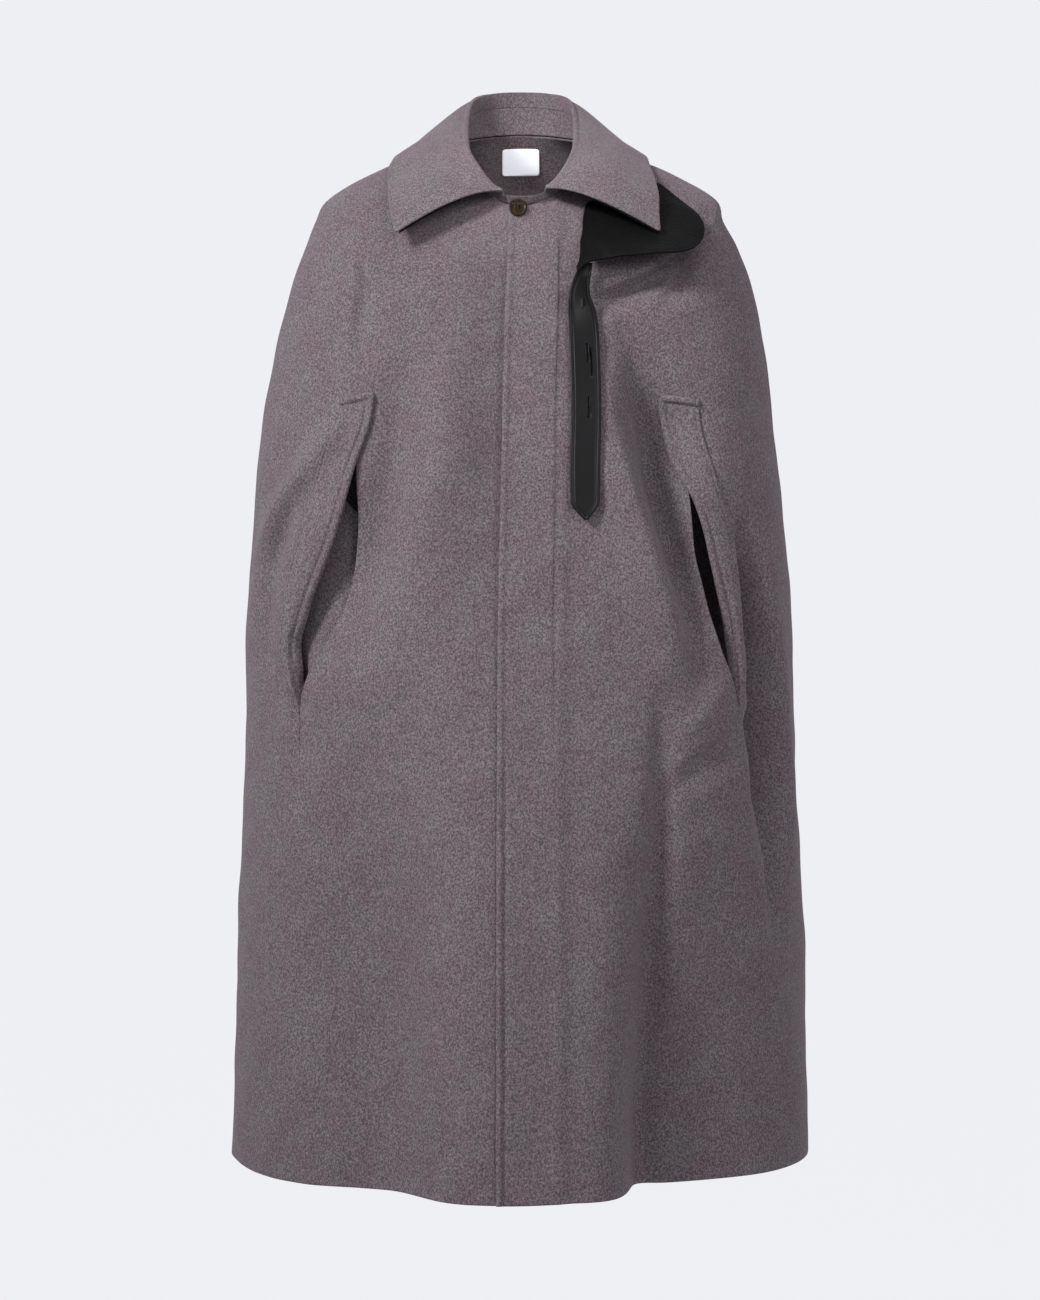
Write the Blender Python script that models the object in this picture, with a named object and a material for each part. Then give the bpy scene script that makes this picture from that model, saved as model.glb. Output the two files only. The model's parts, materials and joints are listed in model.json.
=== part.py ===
"""Wool cape coat: an unlined cape of felted double-face cloth, with arm slits, a turn-down collar
and a leather throat tab, standing hollow as it is worn.

The front faces -Y, the wearer's left is +X and +Z is up. The origin lies level between the two
side-neck points, where the wearer's shoulders carry the coat. Sizes are in millimetres until a mesh
is made. A place on the cloth is a turn (degrees round the body, 0 at the centre front, 90 at the
wearer's left side, 180 at the centre back) and a level (0 at the neck seam, 15 at the hem).
"""
from collections import namedtuple

import bmesh
import bpy
import numpy as np

MM = 0.001

# Cloth and leather
WOOL = 2.4
LEATHER = 1.4
TAB_LEATHER = 2.4
SEAM_GAP = 0.3
LAYER_GAP = 0.9

# Fly
FLY_ACROSS = (8.0, 19.5)
UNDER_EDGE_ACROSS = 31.0
LAP_FADE_ACROSS = 50.0
LAP_LIFT = WOOL + LAYER_GAP

# Collar
STAND_SHARE = 0.65
LEAF_NECK_SHARE = 0.80
LEAF_BELLY_PLACE = 0.32
LEAF_ROWS = 7
LEAF_ENDS = (17.0, 347.0)
LEAF_COLUMN_SPACING = 6.5
LEAF_GAP = 0.8
UNDER_COLLAR_GAP = 0.7
UNDER_COLLAR_FIRST_ROW = 8
UNDER_COLLAR_SETBACK = 0.25

# Neck button and neck label
BUTTON_SIDES = 32
# The turned profile of the button, from the middle of its back to the middle of its face
Turned = namedtuple("Turned", "radius height")
BUTTON_PROFILE = (Turned(0, 0), Turned(8.0, 0), Turned(9.2, 1.3), Turned(8.7, 3.3),
                  Turned(8.1, 3.6), Turned(6.5, 2.9), Turned(0, 2.9))
BUTTON_PLACE = (-3.0, -83.6, -85.5)
BUTTON_TILT = 14.0
LABEL_WIDTH = 40.0
LABEL_TOP = 0.62
LABEL_BOTTOM = 1.75
LABEL_THICKNESS = 0.6
LABEL_GAP = 0.7
LABEL_ROWS = 4
LABEL_COLUMNS = 7

HEM = 15.0

Ring = namedtuple("Ring", "level right_half left_half side_height front_depth front_height"
                          " back_depth back_height squareness")
RINGS = (
    Ring(0, 63, 63, 0, 77, -82, 74, 20, 2.00),
    Ring(1, 100, 100, -13, 88, -106, 84, 0, 2.15),
    Ring(2, 150, 150, -33, 99, -129, 95, -25, 2.35),
    Ring(3, 197, 199, -61, 110, -153, 106, -53, 2.55),
    Ring(4, 211, 207, -84, 120, -178, 114, -80, 2.60),
    Ring(5, 223, 224, -115, 130, -208, 122, -114, 2.55),
    Ring(6, 239, 240, -165, 141, -248, 131, -165, 2.45),
    Ring(7, 254, 251, -228, 153, -296, 140, -228, 2.35),
    Ring(8, 267, 260, -305, 165, -356, 149, -305, 2.25),
    Ring(9, 274, 270, -392, 176, -424, 158, -392, 2.20),
    Ring(10, 281, 277, -486, 187, -503, 168, -486, 2.15),
    Ring(11, 282, 280, -592, 199, -597, 180, -592, 2.10),
    Ring(12, 286, 285, -712, 212, -711, 192, -712, 2.05),
    Ring(13, 291, 292, -832, 224, -831, 203, -832, 2.00),
    Ring(14, 293, 294, -946, 234, -946, 212, -946, 2.00),
    Ring(15, 296, 296, -1038, 240, -1042, 218, -1038, 2.00),
)
HEIGHT_POWER = 1.3

# A fold grows from its start level to its full level, holds, and has faded at its end level.
# Its width is given in degrees on the side of smaller turns (before) and larger turns (after).
Fold = namedtuple("Fold", "start full hold end start_turn end_turn before after depth")
FOLDS = (
    Fold(11.0, 14.6, 98, 99, 26, 25, 4.5, 34, -56),
    Fold(10.5, 13.5, 98, 99, -24, -24, 9, 8, -16),
    Fold(9.2, 10.2, 11.2, 12.4, 55, 58, 3.0, 4.0, -22),
    Fold(7.0, 8.6, 9.8, 10.9, 22, 37, 9, 5, 8),
    Fold(9.0, 14.0, 98, 99, 118, 116, 9, 11, -22),
    Fold(8.0, 14.0, 98, 99, 140, 138, 8, 9, 12),
    Fold(9.5, 14.5, 98, 99, 160, 161, 8, 8, -18),
    Fold(8.5, 14.0, 98, 99, -172, -170, 9, 10, 8),
    Fold(9.0, 14.5, 98, 99, -148, -150, 8, 9, -20),
    Fold(10.0, 14.5, 98, 99, -120, -118, 9, 10, -14),
)

# The lines of each arm slit, in degrees from the centre front: the cut edge of the front, the cut
# edge of the side, and the free and the sewn edge of the welt. The free edge dips in by some
# millimetres, and the two sides of the slit move apart by a share of the full gape.
SlitRow = namedtuple("SlitRow", "level front_cut side_cut welt_free welt_seam dip gape")
SLIT_RIGHT = (
    SlitRow(0.0, 52.0, 53.0, 30.8, 62.0, -1.5, 0),
    SlitRow(2.0, 41.5, 42.5, 30.8, 51.0, -1.5, 0),
    SlitRow(4.0, 37.0, 38.0, 30.8, 45.0, -1.5, 0),
    SlitRow(7.0, 33.4, 34.6, 30.8, 40.3, -1.5, 0),
    SlitRow(7.5, 33.2, 37.0, 31.1, 42.0, -1.5, 0),
    SlitRow(8.0, 33.4, 40.5, 33.8, 44.8, -1.5, 0.1),
    SlitRow(8.5, 33.2, 43.5, 36.6, 47.5, -1.0, 0.5),
    SlitRow(9.0, 33.1, 46.0, 39.4, 50.0, 2, 0.9),
    SlitRow(9.5, 35.5, 48.5, 42.5, 52.6, 5, 1.0),
    SlitRow(10.0, 40.0, 50.0, 45.5, 53.5, 9, 0.6),
    SlitRow(10.4, 44.0, 50.4, 47.6, 53.6, 13, 0.2),
    SlitRow(10.8, 48.0, 49.4, 48.6, 53.2, 14, 0),
    SlitRow(12.0, 49.0, 50.2, 48.6, 54.0, 14, 0),
    SlitRow(15.0, 47.0, 48.2, 48.6, 54.0, 14, 0),
)
SLIT_LEFT = (
    SlitRow(0.0, 52.0, 53.0, 31.0, 62.0, -1.5, 0),
    SlitRow(2.0, 41.5, 42.5, 31.0, 51.0, -1.5, 0),
    SlitRow(4.0, 38.0, 39.0, 31.0, 46.0, -1.5, 0),
    SlitRow(7.0, 34.5, 35.7, 31.0, 41.6, -1.5, 0),
    SlitRow(7.5, 35.0, 38.5, 32.0, 42.0, -1.5, 0),
    SlitRow(8.0, 35.6, 40.5, 34.1, 42.9, -1.5, 0),
    SlitRow(8.5, 35.8, 42.5, 36.8, 44.9, -2.5, 0.2),
    SlitRow(9.0, 35.5, 44.8, 38.8, 47.8, 1, 0.7),
    SlitRow(9.5, 36.6, 47.2, 40.4, 50.4, 3, 1.0),
    SlitRow(10.0, 39.3, 48.4, 43.3, 51.4, 6, 0.6),
    SlitRow(10.4, 43.0, 48.9, 45.6, 51.4, 8, 0.2),
    SlitRow(10.8, 47.8, 49.2, 47.6, 51.4, 9, 0),
    SlitRow(12.0, 49.5, 50.7, 47.6, 53.5, 9, 0),
    SlitRow(15.0, 47.5, 48.7, 47.6, 53.5, 9, 0),
)
SLIT_TOP = 7.0
SLIT_BOTTOM = 10.8
GAPE_REACH = 15.0
WELT_END = 0.85

# How far each edge of a slit moves out (+) or in (-) where the slit gapes most
Gape = namedtuple("Gape", "front side")
GAPE_RIGHT = Gape(-14.0, 4.0)
GAPE_LEFT = Gape(3.0, -9.0)

# The visible front edge (how far it laps past the centre) and the two overarm seams
Edge = namedtuple("Edge", "level lap left_seam right_seam")
EDGES = (
    Edge(0, 12, 90, -92),
    Edge(3, 14, 85, -91),
    Edge(4, 15, 82, -92),
    Edge(5, 16, 78, -93),
    Edge(6, 17, 80, -93),
    Edge(8, 19, 86, -93),
    Edge(10, 22, 90, -93),
    Edge(15, 23, 90, -93),
)

# The line where the collar rolls over, the same on both sides
Roll = namedtuple("Roll", "turn across depth height")
ROLL = (
    Roll(0, 0, -81, -69),
    Roll(15, 20, -79, -66),
    Roll(38, 42, -60, -38),
    Roll(60, 52, -31, -12),
    Roll(90, 53, 12, 22),
    Roll(120, 47, 52, 53),
    Roll(150, 26, 78, 65),
    Roll(180, 0, 86, 68),
)
# How the leaf turns over that line: steps out from it and up from it
TurnOver = namedtuple("TurnOver", "out up")
TURN_OVER = (TurnOver(1.0, 1.0), TurnOver(3.2, 1.5), TurnOver(5.4, 0.9), TurnOver(6.5, -1.0))

# The free edge of the collar leaf, from the left point round the back to the right point, and how
# far the leaf bellies out above a straight fall
LeafEdge = namedtuple("LeafEdge", "turn across depth height belly")
LEAF_EDGE = (
    LeafEdge(17, 135, -106, -112, 17),
    LeafEdge(36, 144, -80, -79, 15),
    LeafEdge(62, 140, -40, -44, 10),
    LeafEdge(92, 126, 8, -14, 9),
    LeafEdge(122, 110, 64, -8, 15),
    LeafEdge(152, 60, 100, -12, 16),
    LeafEdge(180, 0, 110, -12, 14),
    LeafEdge(208, -60, 100, -12, 16),
    LeafEdge(238, -111, 64, -8, 15),
    LeafEdge(268, -127, 10, -13, 11),
    LeafEdge(298, -136, -36, -42, 12),
    LeafEdge(324, -133, -74, -80, 15),
    LeafEdge(347, -126, -101, -113, 17),
)

# The broad part of the throat tab: where its upper and lower edges run, and how far each stands off
BandRow = namedtuple("BandRow", "turn top bottom top_lift bottom_lift")
TAB_BAND = (
    BandRow(10.3, 3.30, 3.50, 20.0, 20.0),
    BandRow(12.0, 2.90, 3.22, 19.0, 20.0),
    BandRow(14.0, 2.58, 3.00, 17.0, 20.0),
    BandRow(17.0, 2.22, 2.82, 14.0, 19.0),
    BandRow(22.0, 1.82, 2.62, 10.0, 17.0),
    BandRow(28.0, 1.42, 2.58, 6.0, 15.0),
    BandRow(34.0, 1.15, 2.83, 4.0, 14.0),
    BandRow(40.0, 1.00, 3.20, 3.2, 13.0),
    BandRow(46.0, 1.15, 3.42, 3.2, 12.5),
    BandRow(52.0, 1.35, 3.43, 3.2, 12.0),
    BandRow(56.0, 1.50, 3.25, 3.4, 10.5),
    BandRow(60.0, 1.62, 2.87, 3.6, 8.5),
    BandRow(64.0, 1.72, 2.50, 3.8, 6.5),
    BandRow(68.0, 1.80, 2.15, 4.0, 5.0),
    BandRow(70.0, 1.83, 1.96, 4.0, 4.4),
)
BAND_ROWS = 5
BAND_LIFT_POWER = 1.7

# The narrow strap: its middle line, half width, stand-off and twist (left edge forward)
StrapRow = namedtuple("StrapRow", "level turn half_width lift twist")
TAB_STRAP = (
    StrapRow(3.05, 13.4, 6.0, 14.6, 0),
    StrapRow(3.40, 12.3, 7.0, 14.4, 12),
    StrapRow(3.70, 11.7, 9.0, 13.5, 32),
    StrapRow(4.34, 10.7, 12.4, 11.0, 22),
    StrapRow(4.80, 10.8, 14.0, 8.0, 10),
    StrapRow(5.80, 10.9, 14.6, 5.6, 0),
    StrapRow(7.30, 11.3, 14.6, 5.2, 0),
    StrapRow(8.42, 11.3, 14.0, 5.2, 0),
    StrapRow(8.66, 11.4, 2.2, 5.2, 0),
)
STRAP_LEVELS = (3.05, 3.4, 3.7, 4.0, 4.34, 4.8, 5.3, 5.8, 6.3, 6.8, 7.3, 7.9, 8.42, 8.66)

ROWS = (0, 0.5, 1, 1.5, 2, 2.5, 3, 3.5, 4, 5, 6, 7, 7.5, 8, 8.5, 9, 9.5, 10, 10.4, 10.8,
        11.4, 12, 12.7, 13.4, 14.2, 15)
# Columns between the fly and the slit stand closer where the deep fold at the hem turns back
FRONT_SHARES_LEFT = (0.0, 0.17, 0.31, 0.40, 0.47, 0.60, 0.80, 1.0)
FRONT_SHARES_RIGHT = (0.0, 0.20, 0.40, 0.60, 0.80, 1.0)
SIDE_SHARES = (0.0, 0.20, 0.45, 0.72, 1.0)
BACK_COLUMNS = 10


def read(table, column, at):
    """Read a column of a table as a soft curve through its rows; the first column is the place.

    The slope at a row stays within three times the smaller slope beside it, so the curve never
    swings past the rows.
    """
    stops = np.array([row[0] for row in table], float)
    values = np.array([getattr(row, column) for row in table], float)
    at = np.asarray(at, float)
    steps = np.diff(values) / np.diff(stops)
    before, after = np.append(steps[:1], steps), np.append(steps, steps[-1:])
    limit = 3.0 * np.minimum(np.abs(before), np.abs(after)) * (before * after > 0)
    slopes = np.clip(np.gradient(values, stops), -limit, limit)
    span = np.clip(np.searchsorted(stops, at, side="right") - 1, 0, len(stops) - 2)
    width = stops[span + 1] - stops[span]
    part = np.clip((at - stops[span]) / width, 0.0, 1.0)
    start, end = values[span], values[span + 1]
    rise_start, rise_end = slopes[span] * width, slopes[span + 1] * width
    square, cube = part ** 2, part ** 3
    return (start * (2 * cube - 3 * square + 1) + rise_start * (cube - 2 * square + part)
            + end * (3 * square - 2 * cube) + rise_end * (cube - square))


def ramp(value, low, high):
    """A soft step from 0 at low to 1 at high."""
    part = np.clip((value - low) / (high - low), 0.0, 1.0)
    return part * part * (3 - 2 * part)


def lerp(start, end, share):
    return start + (end - start) * share


def unit(vectors):
    return vectors / np.linalg.norm(vectors, axis=-1, keepdims=True)


def ring_frame(turn, level):
    """The bare ring: its point, and the level direction that points out of it."""
    sine, cosine = np.sin(np.radians(turn)), np.cos(np.radians(turn))
    power = 2.0 / read(RINGS, "squareness", level)
    half = np.where(sine < 0, read(RINGS, "right_half", level), read(RINGS, "left_half", level))
    front = cosine > 0
    depth = np.where(front, read(RINGS, "front_depth", level), read(RINGS, "back_depth", level))
    end_height = np.where(front, read(RINGS, "front_height", level),
                          read(RINGS, "back_height", level))
    across = half * np.sign(sine) * np.abs(sine) ** power
    along = -depth * np.sign(cosine) * np.abs(cosine) ** power
    side_height = read(RINGS, "side_height", level)
    height = lerp(side_height, end_height, np.abs(cosine) ** HEIGHT_POWER)
    out = unit(np.stack([across / half ** 2, along / depth ** 2, np.zeros_like(across)], -1))
    return np.stack([across, along, height], -1), out


def fold_depth(turn, level):
    """How far all the folds together push the cloth out (+) or in (-)."""
    total = np.zeros(np.broadcast(turn, level).shape)
    for fold in FOLDS:
        strength = ramp(level, fold.start, fold.full) * (1 - ramp(level, fold.hold, fold.end))
        reach = np.clip((level - fold.start) / (min(fold.end, HEM) - fold.start), 0, 1)
        middle = lerp(fold.start_turn, fold.end_turn, reach)
        offset = (turn - middle + 180.0) % 360.0 - 180.0
        width = np.where(offset < 0, fold.before, fold.after)
        total = total + fold.depth * strength * np.exp(-(offset / width) ** 2)
    return total


def gape_depth(turn, level, part):
    """How far the cloth beside an arm slit moves; part is "front" or "side" of the slit."""
    total = np.zeros(np.broadcast(turn, level).shape)
    for sign, slit, gape in ((-1, SLIT_RIGHT, GAPE_RIGHT), (1, SLIT_LEFT, GAPE_LEFT)):
        line = read(slit, part + "_cut", level)
        away = turn * sign - line
        away = np.maximum(-away, 0) if part == "front" else np.maximum(away, 0)
        near = np.where(turn * sign > 0, np.exp(-(away / GAPE_REACH) ** 2), 0.0)
        total = total + getattr(gape, part) * read(slit, "gape", level) * near
    return total


def body_point(turn, level, part):
    turn, level = np.broadcast_arrays(np.asarray(turn, float), np.asarray(level, float))
    point, out = ring_frame(turn, level)
    push = fold_depth(turn, level) + gape_depth(turn, level, part)
    return point + out * push[..., None]


def body_frame(turn, level, part="side"):
    """The outer face of the cloth and the direction that points out of it."""
    step_turn, step_level = 0.25, 0.02
    point = body_point(turn, level, part)
    across = body_point(turn + step_turn, level, part) - body_point(turn - step_turn, level, part)
    upper = np.maximum(level - step_level, 0.0)
    lower = np.minimum(level + step_level, HEM)
    down = body_point(turn, lower, part) - body_point(turn, upper, part)
    return point, unit(np.cross(down, across))


def turn_at(across, level):
    """The turn of the front point that lies so far to the wearer's left (+) or right (-)."""
    half = np.where(across < 0, read(RINGS, "right_half", level), read(RINGS, "left_half", level))
    share = np.clip(np.abs(across) / half, 0, 1)
    power = read(RINGS, "squareness", level) / 2.0
    return np.sign(across) * np.degrees(np.arcsin(share ** power))


def lap_lift(across):
    """The top front lies over the under front, and comes down to the body past the fly."""
    return LAP_LIFT * (1 - ramp(across, UNDER_EDGE_ACROSS + 2.0, LAP_FADE_ACROSS))


def grid_normals(points):
    """Directions out of a grid whose rows run down and whose columns run anticlockwise."""
    down = np.gradient(points, axis=0)
    across = np.gradient(points, axis=1)
    return unit(np.cross(down, across))


def add_solid(name, vertices, faces, material, smooth=False):
    mesh = bpy.data.meshes.new(name)
    mesh.from_pydata([tuple(np.asarray(vertex, float) * MM) for vertex in vertices], [], faces)
    shape = bmesh.new()
    shape.from_mesh(mesh)
    bmesh.ops.recalc_face_normals(shape, faces=shape.faces)
    shape.to_mesh(mesh)
    shape.free()
    mesh.materials.append(material)
    if smooth:
        mesh.shade_smooth()
    piece = bpy.data.objects.new(name, mesh)
    bpy.context.scene.collection.objects.link(piece)
    return piece


def add_wall(name, outer, inner, material, open_cells=()):
    """Close two grids of points into one wall: outer skin, inner skin and a rim round each edge.

    Each cell is split along the same diagonal, so that walls which lie on each other stay apart.
    """
    rows, columns = outer.shape[:2]
    count = rows * columns
    skin = []
    for row in range(rows - 1):
        for column in range(columns - 1):
            if (row, column) not in open_cells:
                corner = row * columns + column
                below = corner + columns
                skin.append((corner, below, below + 1))
                skin.append((corner, below + 1, corner + 1))
    sides = {(face[i], face[(i + 1) % 3]) for face in skin for i in range(3)}
    rim = []
    for start, end in sorted(sides):
        if (end, start) in sides:
            continue
        if start < end:
            rim.append((end, start, end + count))
            rim.append((start, start + count, end + count))
        else:
            rim.append((end, start, start + count))
            rim.append((end, start + count, end + count))
    lining = [tuple(index + count for index in reversed(face)) for face in skin]
    vertices = np.concatenate([outer.reshape(-1, 3), inner.reshape(-1, 3)])
    return add_solid(name, vertices, skin + lining + rim, material, smooth=True)


def make_material(name, colour, roughness):
    material = bpy.data.materials.new(name)
    material.use_nodes = True
    shader = material.node_tree.nodes["Principled BSDF"]
    shader.inputs["Base Color"].default_value = (*colour, 1.0)
    shader.inputs["Roughness"].default_value = roughness
    shader.inputs["Metallic"].default_value = 0.0
    return material


def spread(start, end, shares):
    """Columns between two seam lines, at the given shares of the way."""
    return np.stack([lerp(start, end, share) for share in shares], axis=1)


def half_gap_turn(turn, level, sign):
    """Move a seam line by half the seam gap."""
    point, _ = ring_frame(turn, level)
    beside, _ = ring_frame(turn + 1.0, level)
    per_degree = np.linalg.norm(beside - point, axis=-1)
    return turn + sign * 0.5 * SEAM_GAP / per_degree


def front_columns(slit, sign, edge_lines, shares, seam_turn, levels):
    """The columns of a front, from its edge outwards: those before the slit and those past it."""
    front_cut = sign * read(slit, "front_cut", levels)
    side_cut = sign * read(slit, "side_cut", levels)
    welt_seam = sign * read(slit, "welt_seam", levels)
    edges = np.stack(edge_lines[:-1], axis=1)
    near = np.concatenate([edges, spread(edge_lines[-1], front_cut, shares)], axis=1)
    far = np.concatenate([side_cut[:, None], spread(welt_seam, seam_turn, SIDE_SHARES)], axis=1)
    return near, far


def panel_columns(levels):
    """The turns of every column of the four panels, for the given levels."""
    left_seam = read(EDGES, "left_seam", levels)
    right_seam = read(EDGES, "right_seam", levels)
    centre_back = np.full(levels.shape, 180.0)
    lap_line = turn_at(-read(EDGES, "lap", levels), levels)
    fly_lines = tuple(turn_at(np.full(levels.shape, across), levels) for across in FLY_ACROSS)
    under_line = turn_at(np.full(levels.shape, UNDER_EDGE_ACROSS), levels)
    shares = np.linspace(0.0, 1.0, BACK_COLUMNS + 1)
    return {
        "front_left": front_columns(SLIT_LEFT, 1, (lap_line, *fly_lines, under_line),
                                    FRONT_SHARES_LEFT, half_gap_turn(left_seam, levels, -1),
                                    levels),
        "front_right": front_columns(SLIT_RIGHT, -1, (under_line, *fly_lines[::-1], lap_line),
                                     FRONT_SHARES_RIGHT, half_gap_turn(right_seam, levels, 1),
                                     levels),
        "back_left": spread(half_gap_turn(left_seam, levels, 1),
                            half_gap_turn(centre_back, levels, -1), shares),
        "back_right": spread(half_gap_turn(centre_back, levels, 1),
                             half_gap_turn(right_seam + 360.0, levels, -1), shares),
    }


def build_front(name, material, columns, levels, mirrored, lapped):
    """A front: from its edge to the slit, the slit itself, and on to the overarm seam."""
    near, far = columns
    level_grid = levels[:, None]
    near_point, near_out = body_frame(near, np.broadcast_to(level_grid, near.shape), "front")
    far_point, far_out = body_frame(far, np.broadcast_to(level_grid, far.shape), "side")
    point = np.concatenate([near_point, far_point], axis=1)
    out = np.concatenate([near_out, far_out], axis=1)
    if lapped:
        _, level_out = ring_frame(np.concatenate([near, far], axis=1), level_grid)
        point = point + level_out * lap_lift(point[..., 0])[..., None]
    inner = point - out * WOOL
    slit_column = near.shape[1] - 1
    open_cells = {(row, slit_column) for row in range(len(levels) - 1)
                  if SLIT_TOP <= levels[row] < SLIT_BOTTOM}
    if mirrored:
        point, inner = point[:, ::-1], inner[:, ::-1]
        last = point.shape[1] - 2
        open_cells = {(row, last - column) for row, column in open_cells}
    return add_wall(name, point, inner, material, open_cells)


def build_body(wool):
    levels = np.array(ROWS, float)
    columns = panel_columns(levels)
    build_front("front_left", wool, columns["front_left"], levels, False, True)
    build_front("front_right", wool, columns["front_right"], levels, True, False)
    for name in ("back_left", "back_right"):
        turns = columns[name]
        point, out = body_frame(turns, np.broadcast_to(levels[:, None], turns.shape))
        add_wall(name, point, point - out * WOOL, wool)


def build_welt(name, material, slit, sign):
    """The topstitched strip on the side edge of a slit, lying on the side and over the opening."""
    levels = np.array([level for level in ROWS if SLIT_TOP <= level <= SLIT_BOTTOM], float)
    lines = [sign * read(slit, line, levels) for line in ("welt_free", "side_cut", "welt_seam")]
    turns = np.stack(lines, axis=1)
    point, out = body_frame(turns, np.broadcast_to(levels[:, None], turns.shape), "side")
    rise = np.full(turns.shape, SEAM_GAP + WOOL)
    rise[:, 0] -= read(slit, "dip", levels)
    point = point + out * rise[..., None]
    inner = point - out * WOOL
    point[-1] = lerp(point[-2], point[-1], WELT_END)
    inner[-1] = lerp(inner[-2], inner[-1], WELT_END)
    if sign < 0:
        point, inner = point[:, ::-1], inner[:, ::-1]
    return add_wall(name, point, inner, material)


def roll_point(turn):
    """A point of the roll line, where the collar turns over."""
    folded = (np.asarray(turn, float) + 180.0) % 360.0 - 180.0
    side = np.sign(folded)
    mirrored = np.abs(folded)
    across = side * read(ROLL, "across", mirrored)
    return np.stack([across, read(ROLL, "depth", mirrored), read(ROLL, "height", mirrored)], -1)


def ring_out(turn):
    angle = np.radians(turn)
    return np.stack([np.sin(angle), -np.cos(angle), np.zeros_like(angle)], -1)


def neck_turns():
    """The columns that meet the neck seam, from the left lap round the back to the under edge."""
    columns = panel_columns(np.zeros(1))
    left = np.concatenate([part[0] for part in columns["front_left"]])
    right = np.concatenate([part[0] for part in columns["front_right"]])[::-1]
    return np.concatenate([left, columns["back_left"][0][1:], columns["back_right"][0][1:],
                           right[1:] + 360.0])


def build_stand(wool):
    """The collar stand, from the neck seam up to the leaf's seam; its left end laps over its right."""
    turns = neck_turns()
    seam, level_out = ring_frame(turns, np.zeros(turns.shape))
    out = ring_out(turns)
    lift = np.where(turns < 180.0, lap_lift(seam[:, 0]), 0.0)[:, None]
    bottom = seam + level_out * lift + np.array([0.0, 0.0, SEAM_GAP])
    top = lerp(seam, roll_point(turns) + out * WOOL, STAND_SHARE) + level_out * lift
    outer = np.stack([lerp(top, bottom, share) for share in (0.0, 0.5, 1.0)])
    inner = outer - out[None] * WOOL
    return add_wall("collar_stand", outer, inner, wool)


def leaf_turns():
    """The leaf keeps to the stand's columns, where these are not too close together."""
    turns = [LEAF_ENDS[0]]
    for turn in neck_turns():
        if turn >= turns[-1] + LEAF_COLUMN_SPACING and turn < LEAF_ENDS[1] - 2.0:
            turns.append(turn)
    return np.array(turns + [LEAF_ENDS[1]])


def leaf_grid(turns):
    """The upper face of the collar leaf: up inside the neck, over the roll and down to its edge."""
    roll = roll_point(turns)
    out = ring_out(turns)
    seam, level_out = ring_frame(turns, np.zeros(turns.shape))
    lift = np.where(turns < 180.0, lap_lift(seam[:, 0]), 0.0)[:, None]
    up = np.array([0.0, 0.0, 1.0])
    base = lerp(seam - out * WOOL, roll, STAND_SHARE) + up * LEAF_GAP
    over = [roll + out * step.out + up * step.up for step in TURN_OVER]
    fold_start = over.pop()
    edge = np.stack([read(LEAF_EDGE, name, turns) for name in ("across", "depth", "height")], -1)
    control = lerp(fold_start, edge, LEAF_BELLY_PLACE)
    control = control + up * read(LEAF_EDGE, "belly", turns)[:, None]
    neck_side = [base, lerp(base, roll, LEAF_NECK_SHARE)]
    rows = [row + level_out * lift for row in neck_side + over]
    for share in np.linspace(0.0, 1.0, LEAF_ROWS):
        fall = (1 - share) ** 2 * fold_start + 2 * share * (1 - share) * control + share ** 2 * edge
        rows.append(fall + level_out * lift * (1 - share))
    return np.stack(rows)


def build_collar(wool, leather):
    turns = leaf_turns()
    grid = leaf_grid(turns)
    out = grid_normals(grid)
    out[0] = -ring_out(turns)
    add_wall("collar_leaf", grid, grid - out * WOOL, wool)
    under = (grid - out * (WOOL + UNDER_COLLAR_GAP))[UNDER_COLLAR_FIRST_ROW:]
    under[-1] = lerp(under[-1], under[-2], UNDER_COLLAR_SETBACK)
    inner = under - out[UNDER_COLLAR_FIRST_ROW:] * LEATHER
    add_wall("under_collar", under, inner, leather)


def build_tab(leather_grain, leather_smooth):
    turns = np.array([row.turn for row in TAB_BAND])
    top = np.array([row.top for row in TAB_BAND])
    bottom = np.array([row.bottom for row in TAB_BAND])
    shares = np.linspace(0.0, 1.0, BAND_ROWS)[:, None]
    levels = lerp(top, bottom, shares)
    turn_grid = np.broadcast_to(turns, levels.shape)
    top_lift = np.array([row.top_lift for row in TAB_BAND])
    bottom_lift = np.array([row.bottom_lift for row in TAB_BAND])
    lift = lerp(top_lift, bottom_lift, shares ** BAND_LIFT_POWER)
    point, out = body_frame(turn_grid, levels, "front")
    outer = point + out * lift[..., None]
    band_out = grid_normals(outer)
    add_wall("tab_band", outer, outer - band_out * TAB_LEATHER, leather_grain)

    levels = np.array(STRAP_LEVELS)
    turns = read(TAB_STRAP, "turn", levels)
    middle, out = body_frame(turns, levels, "front")
    middle = middle + out * read(TAB_STRAP, "lift", levels)[:, None]
    along = unit(np.gradient(middle, axis=0))
    across = unit(np.cross(out, along))
    across = np.where(across[:, :1] < 0, -across, across)
    twist = np.radians(read(TAB_STRAP, "twist", levels))[:, None]
    turned = across * np.cos(twist) - out * np.sin(twist)
    half = read(TAB_STRAP, "half_width", levels)[:, None]
    outer = np.stack([middle + turned * half * side for side in (-1.0, 0.0, 1.0)], axis=1)
    strap_out = grid_normals(outer)
    add_wall("tab_strap", outer, outer - strap_out * TAB_LEATHER, leather_smooth)


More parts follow.
